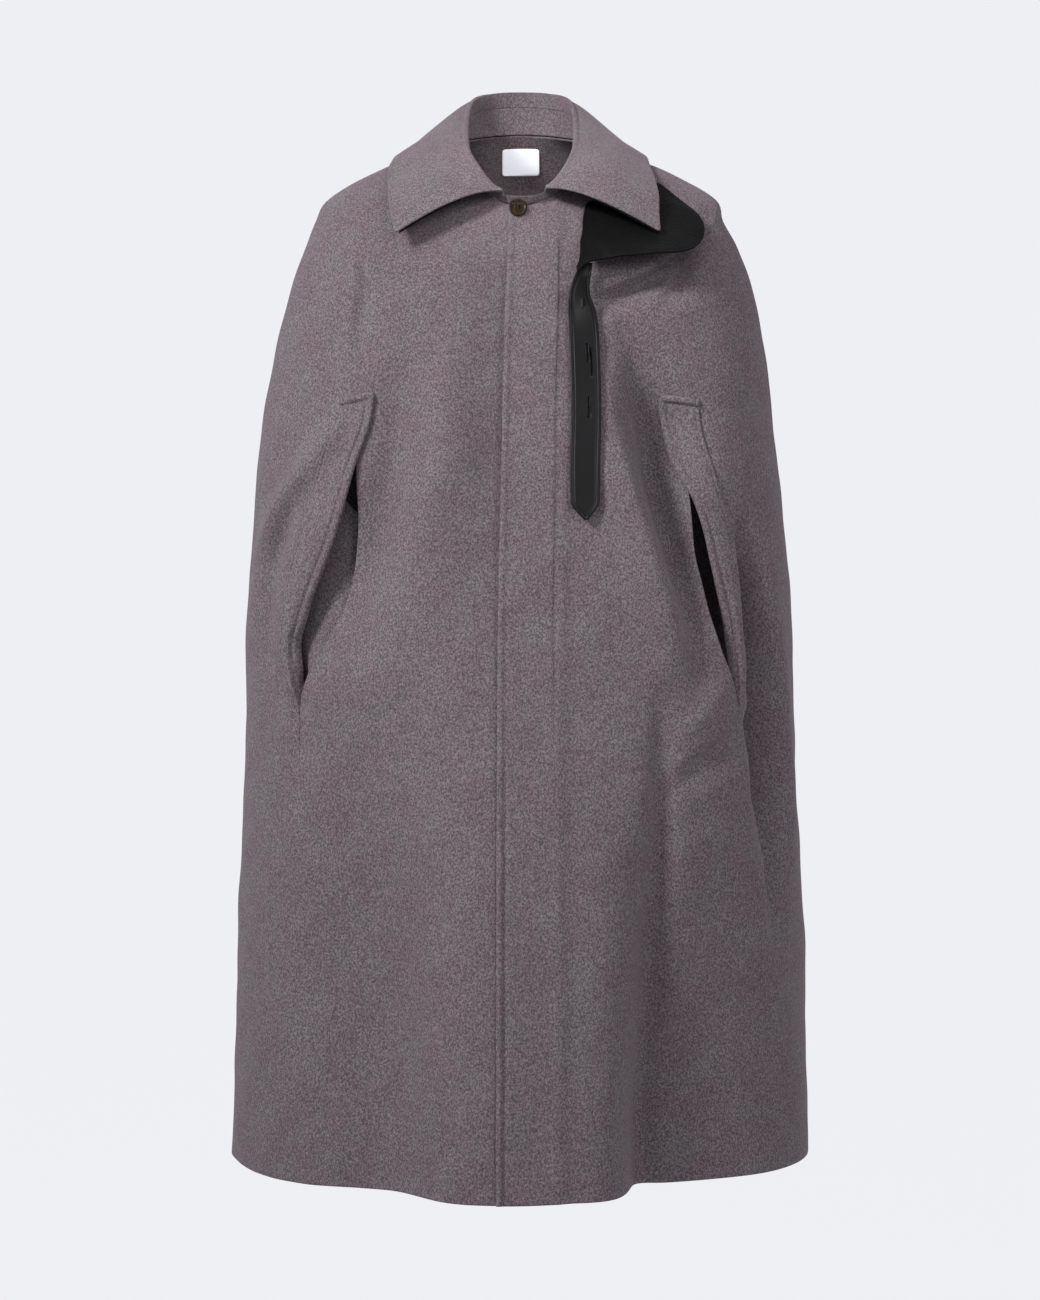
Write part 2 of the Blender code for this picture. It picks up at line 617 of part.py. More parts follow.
def build_button(horn):
    """A turned button: a flat back, a raised rim and a shallow dish."""
    rings = BUTTON_PROFILE[1:-1]
    vertices = [(0.0, 0.0, BUTTON_PROFILE[0].height)]
    for ring in rings:
        for index in range(BUTTON_SIDES):
            angle = 2 * np.pi * index / BUTTON_SIDES
            vertices.append((ring.radius * np.cos(angle), ring.radius * np.sin(angle), ring.height))
    vertices.append((0.0, 0.0, BUTTON_PROFILE[-1].height))
    face_centre = len(vertices) - 1
    top = 1 + (len(rings) - 1) * BUTTON_SIDES
    faces = []
    for index in range(BUTTON_SIDES):
        after = (index + 1) % BUTTON_SIDES
        faces.append((0, 1 + after, 1 + index))
        for band in range(len(rings) - 1):
            low = 1 + band * BUTTON_SIDES
            high = low + BUTTON_SIDES
            faces.append((low + index, low + after, high + after, high + index))
        faces.append((top + index, top + after, face_centre))
    button = add_solid("neck_button", vertices, faces, horn)
    button.location = [value * MM for value in BUTTON_PLACE]
    button.rotation_euler = (np.radians(90.0 - BUTTON_TILT), 0.0, 0.0)


def build_label(satin):
    """The plain label: made from the points of the back's inner face, moved in."""
    levels = np.linspace(LABEL_TOP, LABEL_BOTTOM, LABEL_ROWS)
    across = np.linspace(LABEL_WIDTH / 2, -LABEL_WIDTH / 2, LABEL_COLUMNS)
    turns = np.stack([180.0 - turn_at(across, np.full(across.shape, level)) for level in levels])
    point, out = body_frame(turns, np.broadcast_to(levels[:, None], turns.shape))
    outer = point - out * (WOOL + LABEL_GAP)
    return add_wall("neck_label", outer, outer - out * LABEL_THICKNESS, satin)


def main():
    for item in list(bpy.data.objects):
        bpy.data.objects.remove(item, do_unlink=True)
    wool = make_material("felted_wool", (0.165, 0.132, 0.146), 0.95)
    grain = make_material("grained_leather", (0.012, 0.012, 0.013), 0.5)
    smooth = make_material("smooth_leather", (0.025, 0.024, 0.026), 0.45)
    horn = make_material("polished_horn", (0.045, 0.022, 0.014), 0.15)
    satin = make_material("label_satin", (0.75, 0.75, 0.8), 0.6)
    build_body(wool)
    build_welt("slit_welt_right", wool, SLIT_RIGHT, -1)
    build_welt("slit_welt_left", wool, SLIT_LEFT, 1)
    build_stand(wool)
    build_collar(wool, grain)
    build_tab(grain, smooth)
    build_button(horn)
    build_label(satin)


main()
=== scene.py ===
# %% [markdown]
# # A wool cape coat
# The coat is an unlined cape of felted double-face wool. It has a turn-down collar, a leather throat
# tab, a long slit in each front for the arms, and one horn button at the neck. It stands hollow, as
# it is worn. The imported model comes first, because every piece here is laid on it. It is in metres,
# the front faces -Y, the wearer's left is +X, and +Z is up.

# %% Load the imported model
import json
import math
from collections import namedtuple

import bmesh
import bpy
import numpy as np
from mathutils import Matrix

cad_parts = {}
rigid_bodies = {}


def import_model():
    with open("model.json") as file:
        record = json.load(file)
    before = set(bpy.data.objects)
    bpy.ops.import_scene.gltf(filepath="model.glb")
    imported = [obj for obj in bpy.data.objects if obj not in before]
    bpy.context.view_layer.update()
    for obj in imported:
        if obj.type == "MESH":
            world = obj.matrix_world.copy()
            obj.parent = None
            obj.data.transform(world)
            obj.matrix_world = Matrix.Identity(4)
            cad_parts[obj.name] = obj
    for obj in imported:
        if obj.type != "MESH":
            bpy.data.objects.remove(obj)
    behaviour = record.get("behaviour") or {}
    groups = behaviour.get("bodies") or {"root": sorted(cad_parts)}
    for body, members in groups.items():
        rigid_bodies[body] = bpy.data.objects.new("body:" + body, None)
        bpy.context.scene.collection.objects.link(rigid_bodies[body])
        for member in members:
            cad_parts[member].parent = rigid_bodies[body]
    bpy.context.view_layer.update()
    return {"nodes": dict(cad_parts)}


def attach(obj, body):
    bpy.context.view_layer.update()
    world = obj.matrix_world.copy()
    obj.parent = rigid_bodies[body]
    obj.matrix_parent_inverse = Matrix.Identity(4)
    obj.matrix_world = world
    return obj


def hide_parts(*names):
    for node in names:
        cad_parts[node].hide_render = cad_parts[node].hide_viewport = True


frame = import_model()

MM = 0.001
for cad_piece in bpy.data.objects:
    cad_piece.select_set(False)
print("packed pieces:", sorted(frame["nodes"]))

# %% [markdown]
# ## The camera
# The camera stands level with the middle of the coat and looks straight at its front. It comes
# early, so that each later step can be looked at from the same place. A long lens from 2.5 m keeps
# the hem and the collar close to their true widths.

# %% The camera
CAMERA_DISTANCE = 2.5
VIEW_HEIGHT = 1.339
VIEW_MIDDLE = (-0.00103, -0.5253)
SENSOR_HEIGHT = 24.0

camera_data = bpy.data.cameras.new("front_camera")
camera_data.sensor_fit = "VERTICAL"
camera_data.sensor_height = SENSOR_HEIGHT
camera_data.lens = SENSOR_HEIGHT * CAMERA_DISTANCE / VIEW_HEIGHT
camera = bpy.data.objects.new("front_camera", camera_data)
camera.location = (VIEW_MIDDLE[0], -CAMERA_DISTANCE, VIEW_MIDDLE[1])
camera.rotation_euler = (math.radians(90), 0, 0)
bpy.context.scene.collection.objects.link(camera)
bpy.context.scene.camera = camera
print("lens in mm:", round(camera_data.lens, 1))

# %% [markdown]
# ## The form of the cape
# A cape is a tube of cloth that opens from the neck over the shoulders to the hem. A place on it is
# a turn, in degrees round the body from the centre front, and a level, from 0 at the neck seam to 15
# at the hem. A short table gives each level its half widths, depths and heights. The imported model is
# built on the same table, so cloth that is made from it lands on the model. Sizes stay in
# millimetres until a mesh is made.

# %% The rings of the cape
HEM = 15.0

Ring = namedtuple("Ring", "level right_half left_half side_height front_depth front_height"
                          " back_depth back_height squareness")
RINGS = (
    Ring(0, 63, 63, 0, 77, -82, 74, 20, 2.00),
    Ring(1, 100, 100, -13, 88, -106, 84, 0, 2.15),
    Ring(2, 150, 150, -33, 99, -129, 95, -25, 2.35),
    Ring(3, 197, 199, -61, 110, -153, 106, -53, 2.55),
    Ring(4, 211, 207, -84, 120, -178, 114, -80, 2.60),
    Ring(5, 223, 224, -115, 130, -208, 122, -114, 2.55),
    Ring(6, 239, 240, -165, 141, -248, 131, -165, 2.45),
    Ring(7, 254, 251, -228, 153, -296, 140, -228, 2.35),
    Ring(8, 267, 260, -305, 165, -356, 149, -305, 2.25),
    Ring(9, 274, 270, -392, 176, -424, 158, -392, 2.20),
    Ring(10, 281, 277, -486, 187, -503, 168, -486, 2.15),
    Ring(11, 282, 280, -592, 199, -597, 180, -592, 2.10),
    Ring(12, 286, 285, -712, 212, -711, 192, -712, 2.05),
    Ring(13, 291, 292, -832, 224, -831, 203, -832, 2.00),
    Ring(14, 293, 294, -946, 234, -946, 212, -946, 2.00),
    Ring(15, 296, 296, -1038, 240, -1042, 218, -1038, 2.00),
)
print("rings:", len(RINGS), "widest half in mm:", max(ring.left_half for ring in RINGS))

# %% [markdown]
# A place between two rows of a table is read from a soft curve through all the rows, which never
# swings past the value of a row, so that the cloth has neither kinks nor bulges there. A soft step,
# a mix of two values and a direction of length one are the other small tools that the pieces share.

# %% Reading a table


def read(table, column, at):
    """Read a column of a table as a soft curve through its rows; the first column is the place."""
    stops = np.array([row[0] for row in table], float)
    values = np.array([getattr(row, column) for row in table], float)
    at = np.asarray(at, float)
    steps = np.diff(values) / np.diff(stops)
    before, after = np.append(steps[:1], steps), np.append(steps, steps[-1:])
    limit = 3.0 * np.minimum(np.abs(before), np.abs(after)) * (before * after > 0)
    slopes = np.clip(np.gradient(values, stops), -limit, limit)
    span = np.clip(np.searchsorted(stops, at, side="right") - 1, 0, len(stops) - 2)
    width = stops[span + 1] - stops[span]
    part = np.clip((at - stops[span]) / width, 0.0, 1.0)
    start, end = values[span], values[span + 1]
    rise_start, rise_end = slopes[span] * width, slopes[span + 1] * width
    square, cube = part ** 2, part ** 3
    return (start * (2 * cube - 3 * square + 1) + rise_start * (cube - 2 * square + part)
            + end * (3 * square - 2 * cube) + rise_end * (cube - square))


def ramp(value, low, high):
    """A soft step from 0 at low to 1 at high."""
    part = np.clip((value - low) / (high - low), 0.0, 1.0)
    return part * part * (3 - 2 * part)


def lerp(start, end, share):
    return start + (end - start) * share


def unit(vectors):
    return vectors / np.linalg.norm(vectors, axis=-1, keepdims=True)


print("half width at level 2.5 in mm:", round(float(read(RINGS, "left_half", 2.5)), 1))

# %% [markdown]
# In plan each ring is a squared oval: the higher its squareness, the fuller its corners. Its height
# runs from the side's height to the front's and the back's, so the shoulders slope as a body's do.

# %% A point of a ring
HEIGHT_POWER = 1.3


def ring_frame(turn, level):
    """The bare ring: its point, and the level direction that points out of it."""
    sine, cosine = np.sin(np.radians(turn)), np.cos(np.radians(turn))
    power = 2.0 / read(RINGS, "squareness", level)
    half = np.where(sine < 0, read(RINGS, "right_half", level), read(RINGS, "left_half", level))
    front = cosine > 0
    depth = np.where(front, read(RINGS, "front_depth", level), read(RINGS, "back_depth", level))
    end_height = np.where(front, read(RINGS, "front_height", level),
                          read(RINGS, "back_height", level))
    across = half * np.sign(sine) * np.abs(sine) ** power
    along = -depth * np.sign(cosine) * np.abs(cosine) ** power
    side_height = read(RINGS, "side_height", level)
    height = lerp(side_height, end_height, np.abs(cosine) ** HEIGHT_POWER)
    out = unit(np.stack([across / half ** 2, along / depth ** 2, np.zeros_like(across)], -1))
    return np.stack([across, along, height], -1), out


print("hem ring in mm:", [round(float(value)) for value in ring_frame(90.0, HEM)[0]])

# %% [markdown]
# ## The big folds
# A cape has more cloth at its hem than at its shoulders, so it falls in tall folds that start near
# the elbows and grow downwards. Each is one row of a table: where it starts and is full, where it
# runs, how wide it is on either side, and how far it pushes the cloth out or in. The folds differ in
# depth and spacing, because a real cape never falls in even flutes.

# %% The big folds
Fold = namedtuple("Fold", "start full hold end start_turn end_turn before after depth")
TO_HEM = (98, 99)  # hold and end of a fold that stays full to the hem
FOLDS = (
    Fold(11.0, 14.6, *TO_HEM, 28, 28, 7.5, 30, -56),
    Fold(10.5, 13.5, *TO_HEM, -24, -24, 9, 8, -16),
    Fold(9.2, 10.2, 11.2, 12.4, 55, 58, 3.0, 4.0, -22),
    Fold(7.0, 8.6, 9.8, 10.9, 18, 33.5, 9, 5, 8),
    Fold(9.0, 14.0, *TO_HEM, 118, 116, 9, 11, -22),
    Fold(8.0, 14.0, *TO_HEM, 140, 138, 8, 9, 12),
    Fold(9.5, 14.5, *TO_HEM, 160, 161, 8, 8, -18),
    Fold(8.5, 14.0, *TO_HEM, -172, -170, 9, 10, 8),
    Fold(9.0, 14.5, *TO_HEM, -148, -150, 8, 9, -20),
    Fold(10.0, 14.5, *TO_HEM, -120, -118, 9, 10, -14),
)


def half_turn(angle):
    """The same direction, from -180 to 180 degrees."""
    return (angle + 180.0) % 360.0 - 180.0


def fold_depth(turn, level):
    """How far the big folds push the cloth out or in."""
    total = np.zeros(np.broadcast(turn, level).shape)
    for fold in FOLDS:
        strength = ramp(level, fold.start, fold.full) * (1 - ramp(level, fold.hold, fold.end))
        reach = np.clip((level - fold.start) / (min(fold.end, HEM) - fold.start), 0, 1)
        middle = lerp(fold.start_turn, fold.end_turn, reach)
        offset = half_turn(turn - middle)
        width = np.where(offset < 0, fold.before, fold.after)
        total = total + fold.depth * strength * np.exp(-(offset / width) ** 2)
    return total


print("big folds:", len(FOLDS), "deepest in mm:", min(fold.depth for fold in FOLDS))

# %% [markdown]
# ## The arm slits
# Each front is cut open from the chest to below the elbow for the arm. The table gives, for each
# level, where the two cut edges run and where the welt lies: the topstitched strip that is sewn to
# the side edge and laps over the opening. The opening gapes most at its lower half, where the arm
# would come out, so the cloth beside it moves in or out there.

# %% The arm slits
SlitRow = namedtuple("SlitRow", "level front_cut side_cut welt_free welt_seam dip gape")
SLIT_RIGHT = (
    SlitRow(0.0, 52.0, 53.0, 30.8, 62.0, -1.5, 0),
    SlitRow(2.0, 41.5, 42.5, 30.8, 51.0, -1.5, 0),
    SlitRow(4.0, 37.0, 38.0, 30.8, 45.0, -1.5, 0),
    SlitRow(7.0, 33.4, 34.6, 30.8, 40.3, -1.5, 0),
    SlitRow(7.5, 34.0, 37.0, 31.4, 42.0, -1.5, 0),
    SlitRow(8.0, 34.6, 40.0, 33.9, 44.6, -1.5, 0.1),
    SlitRow(8.5, 34.6, 43.0, 36.0, 47.2, -1.0, 0.5),
    SlitRow(9.0, 35.2, 45.6, 38.9, 49.8, 2, 0.9),
    SlitRow(9.5, 36.4, 48.4, 43.0, 52.6, 5, 1.0),
    SlitRow(10.0, 39.4, 51.0, 47.8, 54.6, 9, 0.7),
    SlitRow(10.3, 43.2, 52.6, 50.7, 55.6, 12, 0.5),
    SlitRow(10.6, 47.8, 52.0, 51.0, 55.4, 13, 0.2),
    SlitRow(10.85, 50.5, 50.7, 50.0, 54.6, 13, 0.05),
    SlitRow(12.0, 49.5, 49.9, 49.6, 53.6, 13, 0),
    SlitRow(15.0, 47.5, 47.9, 49.6, 53.6, 13, 0),
)
SLIT_LEFT = (
    SlitRow(0.0, 52.0, 53.0, 31.5, 62.0, -1.5, 0),
    SlitRow(2.0, 41.5, 42.5, 31.5, 51.0, -1.5, 0),
    SlitRow(4.0, 38.5, 39.5, 31.5, 46.0, -1.5, 0),
    SlitRow(7.0, 36.0, 37.2, 31.5, 41.6, -1.5, 0),
    SlitRow(7.5, 37.2, 39.5, 33.2, 42.4, -1.5, 0),
    SlitRow(8.0, 38.2, 41.5, 35.5, 44.2, -1.5, 0),
    SlitRow(8.5, 38.4, 44.0, 39.2, 46.4, -2.5, 0.3),
    SlitRow(9.0, 38.4, 46.6, 41.7, 49.2, 1, 0.8),
    SlitRow(9.5, 39.2, 48.2, 43.6, 51.4, 3, 1.0),
    SlitRow(10.0, 41.0, 49.4, 45.9, 52.4, 6, 0.7),
    SlitRow(10.3, 43.4, 49.6, 47.0, 52.5, 8, 0.4),
    SlitRow(10.6, 46.6, 49.4, 47.6, 52.2, 9, 0.2),
    SlitRow(10.85, 48.4, 48.8, 48.2, 52.3, 9, 0.1),
    SlitRow(12.0, 49.7, 50.1, 48.6, 52.6, 9, 0),
    SlitRow(15.0, 47.7, 48.1, 48.6, 52.6, 9, 0),
)
SLIT_TOP = 7.0
SLIT_BOTTOM = 10.85
print("slits run from level", SLIT_TOP, "to", SLIT_BOTTOM)

# %% [markdown]
# Where a slit gapes, the cloth in front of it and the cloth behind it stand at different depths, by
# so many millimetres for each. The step fades with the distance from the cut, in degrees.

# %% How the slits gape
GAPE_REACH = 15.0
Gape = namedtuple("Gape", "front side")
GAPE_RIGHT = Gape(-14.0, 4.0)
GAPE_LEFT = Gape(3.0, -9.0)


def gape_depth(turn, level, part):
    """How far the cloth beside an arm slit moves; part is "front" or "side" of the slit."""
    total = np.zeros(np.broadcast(turn, level).shape)
    for sign, slit, gape in ((-1, SLIT_RIGHT, GAPE_RIGHT), (1, SLIT_LEFT, GAPE_LEFT)):
        line = read(slit, part + "_cut", level)
        away = turn * sign - line
        away = np.maximum(-away, 0) if part == "front" else np.maximum(away, 0)
        near = np.where(turn * sign > 0, np.exp(-(away / GAPE_REACH) ** 2), 0.0)
        total = total + getattr(gape, part) * read(slit, "gape", level) * near
    return total


def body_point(turn, level, part):
    """A point of the cape with its big folds and open slits."""
    turn, level = np.broadcast_arrays(np.asarray(turn, float), np.asarray(level, float))
    point, out = ring_frame(turn, level)
    push = fold_depth(turn, level) + gape_depth(turn, level, part)
    return point + out * push[..., None]


print("a point of the hem in mm:", body_point(60.0, HEM, "side").round())

# %% [markdown]
# ## The main creases
# Between the big folds, thick wool bends in soft troughs and ridges: where the arm slit pulls,
# where the shoulder's roundness ends, and where the coat was folded away. Each crease follows a line
# of its own down the cloth, with a width on either side in millimetres. Its depth fades to nothing at
# both ends, unless it runs out over the hem. A narrow side gives a sharp bend and a wide side a long
# slope. They are set one by one, unlike each other in length, depth and spacing, with gentler ones on
# the back.

# %% The main creases
Crease = namedtuple("Crease", "level turn before after depth")
CREASES = {
    "right_chest_valley": (Crease(5.9, -23, 17, 17, 0), Crease(6.8, -24.5, 18, 17, -7.0),
                           Crease(7.9, -26, 20, 18, -10.0), Crease(9.0, -29.5, 22, 20, -8.4),
                           Crease(10.4, -37, 24, 24, 0)),
    "right_chest_crest": (Crease(5.4, -13, 20, 30, 0), Crease(6.6, -13.5, 20, 30, 6.5),
                          Crease(7.9, -14.5, 21, 34, 9.0), Crease(9.2, -19.5, 24, 38, 8.0),
                          Crease(10.9, -28, 28, 42, 0)),
    "waist_crest": (Crease(9.8, -10, 34, 34, 0), Crease(11.6, -8.5, 42, 38, 6.0),
                    Crease(13.4, -8, 46, 40, 8.0), Crease(15.0, -8, 46, 40, 7.0)),
    "right_dart": (Crease(3.25, -46.4, 1.6, 2.4, 0), Crease(3.5, -45.6, 1.8, 3.0, -3.4),
                   Crease(4.1, -43.2, 2.0, 4.2, -4.0), Crease(4.7, -40.4, 3.0, 10, -4.0),
                   Crease(5.4, -39.5, 4, 14, -3.0), Crease(6.7, -35, 6, 14, 0)),
    "right_dart_lip": (Crease(3.6, -47.5, 7, 3, 0), Crease(4.6, -43.6, 8, 4, 2.4),
                       Crease(5.6, -42.2, 10, 5, 2.6), Crease(7.0, -36, 10, 6, 0)),
    "elbow_ridge_right": (Crease(7.2, -38, 12, 12, 0), Crease(7.7, -43, 14, 13, 5.5),
                          Crease(8.4, -53, 18, 15, 9.0), Crease(9.0, -64, 20, 17, 8.0),
                          Crease(9.5, -74, 20, 16, 0)),
    "elbow_trough_right": (Crease(8.3, -50, 12, 12, 0), Crease(8.9, -57.5, 14, 16, -7.5),
                           Crease(9.5, -63, 16, 19, -9.0), Crease(10.1, -64, 18, 20, -6.0),
                           Crease(11.1, -62, 18, 18, 0)),
    "right_slit_foot": (Crease(10.5, -50, 10, 14, 0), Crease(10.9, -50.5, 9, 18, -5.0),
                        Crease(11.7, -50, 12, 20, 0)),
    "left_chest_fold": (Crease(4.4, 22, 14, 20, 0), Crease(5.6, 23, 18, 28, -9.0),
                        Crease(6.5, 25, 20, 36, -20.0), Crease(7.3, 28, 24, 40, -38.0),
                        Crease(8.2, 30, 22, 34, -45.0), Crease(9.1, 32.5, 18, 28, -38.0),
                        Crease(9.9, 34.8, 14, 22, -18.0), Crease(10.8, 38, 12, 16, 0)),
    "left_chest_crest": (Crease(5.8, 15, 26, 8, 0), Crease(7.15, 17, 28, 8, 3.0),
                         Crease(8.15, 20.5, 28, 8, 4.0), Crease(9.05, 24.5, 26, 8, 4.0),
                         Crease(10.3, 30.5, 24, 8, 0)),
    "left_side_trough": (Crease(8.7, 52.4, 4, 10, 0), Crease(9.35, 53.8, 4.4, 14, -16.0),
                         Crease(10.35, 58.4, 6.0, 17, -31.0), Crease(11.2, 60.2, 7.0, 18, -33.0),
                         Crease(12.0, 61.4, 7.5, 18, -21.0), Crease(13.0, 62.6, 9, 18, 0)),
    "left_side_crest": (Crease(8.8, 60, 8, 18, 0), Crease(9.8, 65, 10, 20, 4.0),
                        Crease(11.2, 71, 12, 22, 5.0), Crease(12.6, 74, 14, 22, 0)),
    "left_short_fold": (Crease(10.85, 51.5, 12, 14, 0), Crease(11.05, 48.0, 12, 42, -8.0),
                        Crease(11.25, 41.0, 13, 44, -8.0), Crease(11.45, 34.5, 12, 40, -4.0),
                        Crease(11.7, 28, 10, 14, 0)),
    "left_short_crest": (Crease(10.5, 44.5, 14, 10, 0), Crease(10.8, 41.5, 18, 14, 3.0),
                         Crease(11.0, 36.5, 18, 14, 2.5), Crease(11.2, 30, 14, 10, 0)),
    "left_long_fold": (Crease(10.6, 27.5, 9, 14, 0), Crease(11.4, 28.0, 12, 15, -8.0),
                       Crease(12.4, 28.3, 18, 16, -12.0), Crease(13.6, 28.6, 24, 17, -10.0),
                       Crease(15.0, 28.6, 28, 18, -8.0)),
    "right_low_valley": (Crease(10.7, -35, 44, 42, 0), Crease(12.0, -34.5, 52, 48, -14.0),
                         Crease(13.3, -33.5, 60, 54, -26.0), Crease(15.0, -33, 62, 54, -24.0)),
    "under_tab_hollow": (Crease(2.7, 70, 20, 14, 0), Crease(3.25, 62, 34, 20, -9.0),
                         Crease(3.75, 49, 50, 34, -17.0), Crease(4.1, 35, 60, 50, -18.0),
                         Crease(4.4, 22, 40, 60, -12.0), Crease(4.95, 14, 36, 60, 0)),
    "left_shoulder_drop": (Crease(2.4, 66, 9, 10, 0), Crease(3.3, 60, 10, 12, -5.0),
                           Crease(4.0, 50, 10, 15, -9.0), Crease(4.6, 40, 12, 18, -7.0),
                           Crease(5.2, 33, 14, 18, 0)),
    "back_nape_fold": (Crease(3.0, 176, 16, 16, 0), Crease(4.6, 172, 18, 19, -7.0),
                       Crease(6.6, 168, 18, 20, 0)),
    "back_left_blade": (Crease(4.8, 132, 20, 24, 0), Crease(6.6, 136, 22, 26, 7.0),
                        Crease(8.8, 141, 20, 22, 0)),
    "back_left_drag": (Crease(6.4, 104, 12, 18, 0), Crease(8.0, 112, 13, 22, -9.0),
                       Crease(9.6, 118, 14, 20, 0)),
    "back_right_blade": (Crease(5.2, 218, 22, 22, 0), Crease(7.0, 215, 24, 20, 6.4),
                         Crease(9.2, 212, 22, 20, 0)),
    "back_right_drag": (Crease(6.8, 252, 15, 12, 0), Crease(8.4, 246, 18, 13, -8.5),
                        Crease(10.2, 240, 20, 14, 0)),
    "back_hem_ridge": (Crease(11.6, 190, 20, 20, 0), Crease(13.4, 192, 22, 26, 7.0),
                       Crease(15.0, 193, 22, 26, 6.0)),
}
print("creases:", len(CREASES), "deepest in mm:",
      min(row.depth for rows in CREASES.values() for row in rows))

# %% [markdown]
# Across its line a crease is a bell curve. Over all of them lies the slow unevenness of a heavy
# cloth: four long waves, each half a millimetre high or less, that cross at odd lengths so that no
# repeat shows.

# %% The finished face of the cloth


def crease_depth(turn, level):
    """How far the creases push the cloth out or in."""
    bare, _ = ring_frame(turn, level)
    total = np.zeros(bare.shape[:-1])
    for rows in CREASES.values():
        spine_turn = read(rows, "turn", level)
        spine, _ = ring_frame(spine_turn, level)
        side = half_turn(turn - spine_turn)
        away = np.linalg.norm(bare - spine, axis=-1)
        width = np.where(side < 0, read(rows, "before", level), read(rows, "after", level))
        total = total + read(rows, "depth", level) * np.exp(-(away / width) ** 2)
    return total


# Each wave's height, and its lengths across, in depth and down, in mm; the shift is in radians
Wave = namedtuple("Wave", "height across deep down shift")
WAVES = (
    Wave(0.50, 113, 171, 240, 0.4),
    Wave(0.42, -87, 139, 127, 1.9),
    Wave(0.26, 61, -97, 89, 3.1),
    Wave(0.16, -47, 61, 53, 0.8),
)


def waver(point):
    """The slow unevenness of the cloth at a point."""
    total = np.zeros(point.shape[:-1])
    for wave in WAVES:
        phase = point[..., 0] / wave.across + point[..., 1] / wave.deep + point[..., 2] / wave.down
        total = total + wave.height * np.sin(2 * np.pi * phase + wave.shift)
    return total


def cloth_point(turn, level, part):
    """A point of the cape's outer face, with its folds, creases and unevenness."""
    turn, level = np.broadcast_arrays(np.asarray(turn, float), np.asarray(level, float))
    bare, out = ring_frame(turn, level)
    push = fold_depth(turn, level) + gape_depth(turn, level, part)
    push = push + crease_depth(turn, level) + waver(bare)
    return bare + out * push[..., None]


print("unevenness in mm, at most:", round(sum(wave.height for wave in WAVES), 2))

# %% [markdown]
# ## A wall of cloth
# Real cloth is thin but not flat: its edges are rounded and a row of stitches pinches it. It could
# be a single surface with a Solidify modifier, but then every edge would be square and no seam sunk.
# Here each cloth is a grid of points on its middle surface, with a half thickness for each point.
# The half thickness shrinks to about a quarter at an edge and dips along a stitch line, and the
# grid is closer there, so both show as real shape.

# %% Edges and stitch lines
WOOL = 2.4
RIM_LEFT = 0.28


def rim(distance, radius):
    """Share of the thickness at a distance from an edge: a quarter circle of that radius."""
    inside = np.clip(1.0 - distance / radius, 0.0, 1.0)
    return np.sqrt(np.maximum(1.0 - inside ** 2, RIM_LEFT ** 2))


def pinch(distance, place, before, after=None):
    """1 on a stitch line at that distance from an edge, fading to 0 before and after it."""
    width = np.where(distance < place, before, before if after is None else after)
    return np.exp(-((distance - place) / width) ** 2)


def grid_normals(points):
    """Directions out of a grid whose rows run down and whose columns run anticlockwise."""
    down = np.gradient(points, axis=0)
    across = np.gradient(points, axis=1)
    return unit(np.cross(down, across))


print("rim thickness in mm:", round(WOOL * RIM_LEFT, 2))

# %% [markdown]
# The wall has an outer and an inner skin of the same grid. Cells can be left open, as for a slit or a
# buttonhole. Every edge that only one face uses, outside or round an opening, gets a face that
# bridges the two skins, so the mesh is closed and its thickness shows at the cut.

# %% A closed wall


def add_wall(name, outer, inner, open_cells=()):
    """Join two grids of points into one closed wall and make it a mesh in metres."""
    rows, columns = outer.shape[:2]
    count = rows * columns
    corner = (np.arange(rows - 1)[:, None] * columns + np.arange(columns - 1)).reshape(-1)
    if len(open_cells):
        closed = np.ones((rows - 1, columns - 1), bool)
        closed[tuple(np.array(open_cells).T)] = False
        corner = corner[closed.reshape(-1)]
    skin = np.stack([corner, corner + columns, corner + columns + 1, corner + 1], axis=1)
    edges = np.concatenate([skin[:, [side, (side + 1) % 4]] for side in range(4)])
    codes = edges[:, 0] * count + edges[:, 1]
    lone = edges[~np.isin(codes, edges[:, 1] * count + edges[:, 0])]
    band = np.stack([lone[:, 1], lone[:, 0], lone[:, 0] + count, lone[:, 1] + count], axis=1)
    faces = np.concatenate([skin, skin[:, ::-1] + count, band])
    vertices = np.concatenate([outer.reshape(-1, 3), inner.reshape(-1, 3)]) * MM
    used, faces = np.unique(faces, return_inverse=True)
    mesh = bpy.data.meshes.new(name + "_made")
    mesh.from_pydata(vertices[used].tolist(), [], faces.reshape(-1, 4).tolist())
    mesh.shade_smooth()
    piece = bpy.data.objects.new(name + "_made", mesh)
    bpy.context.scene.collection.objects.link(piece)
    print(name, "triangles:", 2 * len(mesh.polygons))
    return piece


def add_cloth(name, middle, normal, half, open_cells=()):
    """A cloth on both sides of its middle surface."""
    thickness = normal * half[..., None]
    return add_wall(name, middle + thickness, middle - thickness, open_cells)


def add_faced_cloth(name, face, normal, thickness, half, open_cells=()):
    """A cloth whose outer face goes through the points."""
    return add_cloth(name, face - normal * (0.5 * thickness), normal, half, open_cells)


print("a wall is made in metres: its points are multiplied by", MM)

# %% [markdown]
# Cloth and leather bend, but this coat is one rigid body, so every piece rides on it. A piece also
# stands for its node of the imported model, if it has one, and its slot names the finish it wears.

# %% Settling a piece


def settle(piece, node, material):
    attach(piece, "root")
    if node:
        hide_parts(node)
    piece.data.materials.append(material)


# %% [markdown]
# ## Colours and nodes
# Screen colours are written as hex values, but a shader works in linear light, so one function
# turns the first into the second. Another adds a shader node with its settings and links, so that
# each material below reads as a short list, and a last one links the patterns to the shader. What is
# the same all over a surface is set on the shader's own sockets.

# %% Colours and nodes


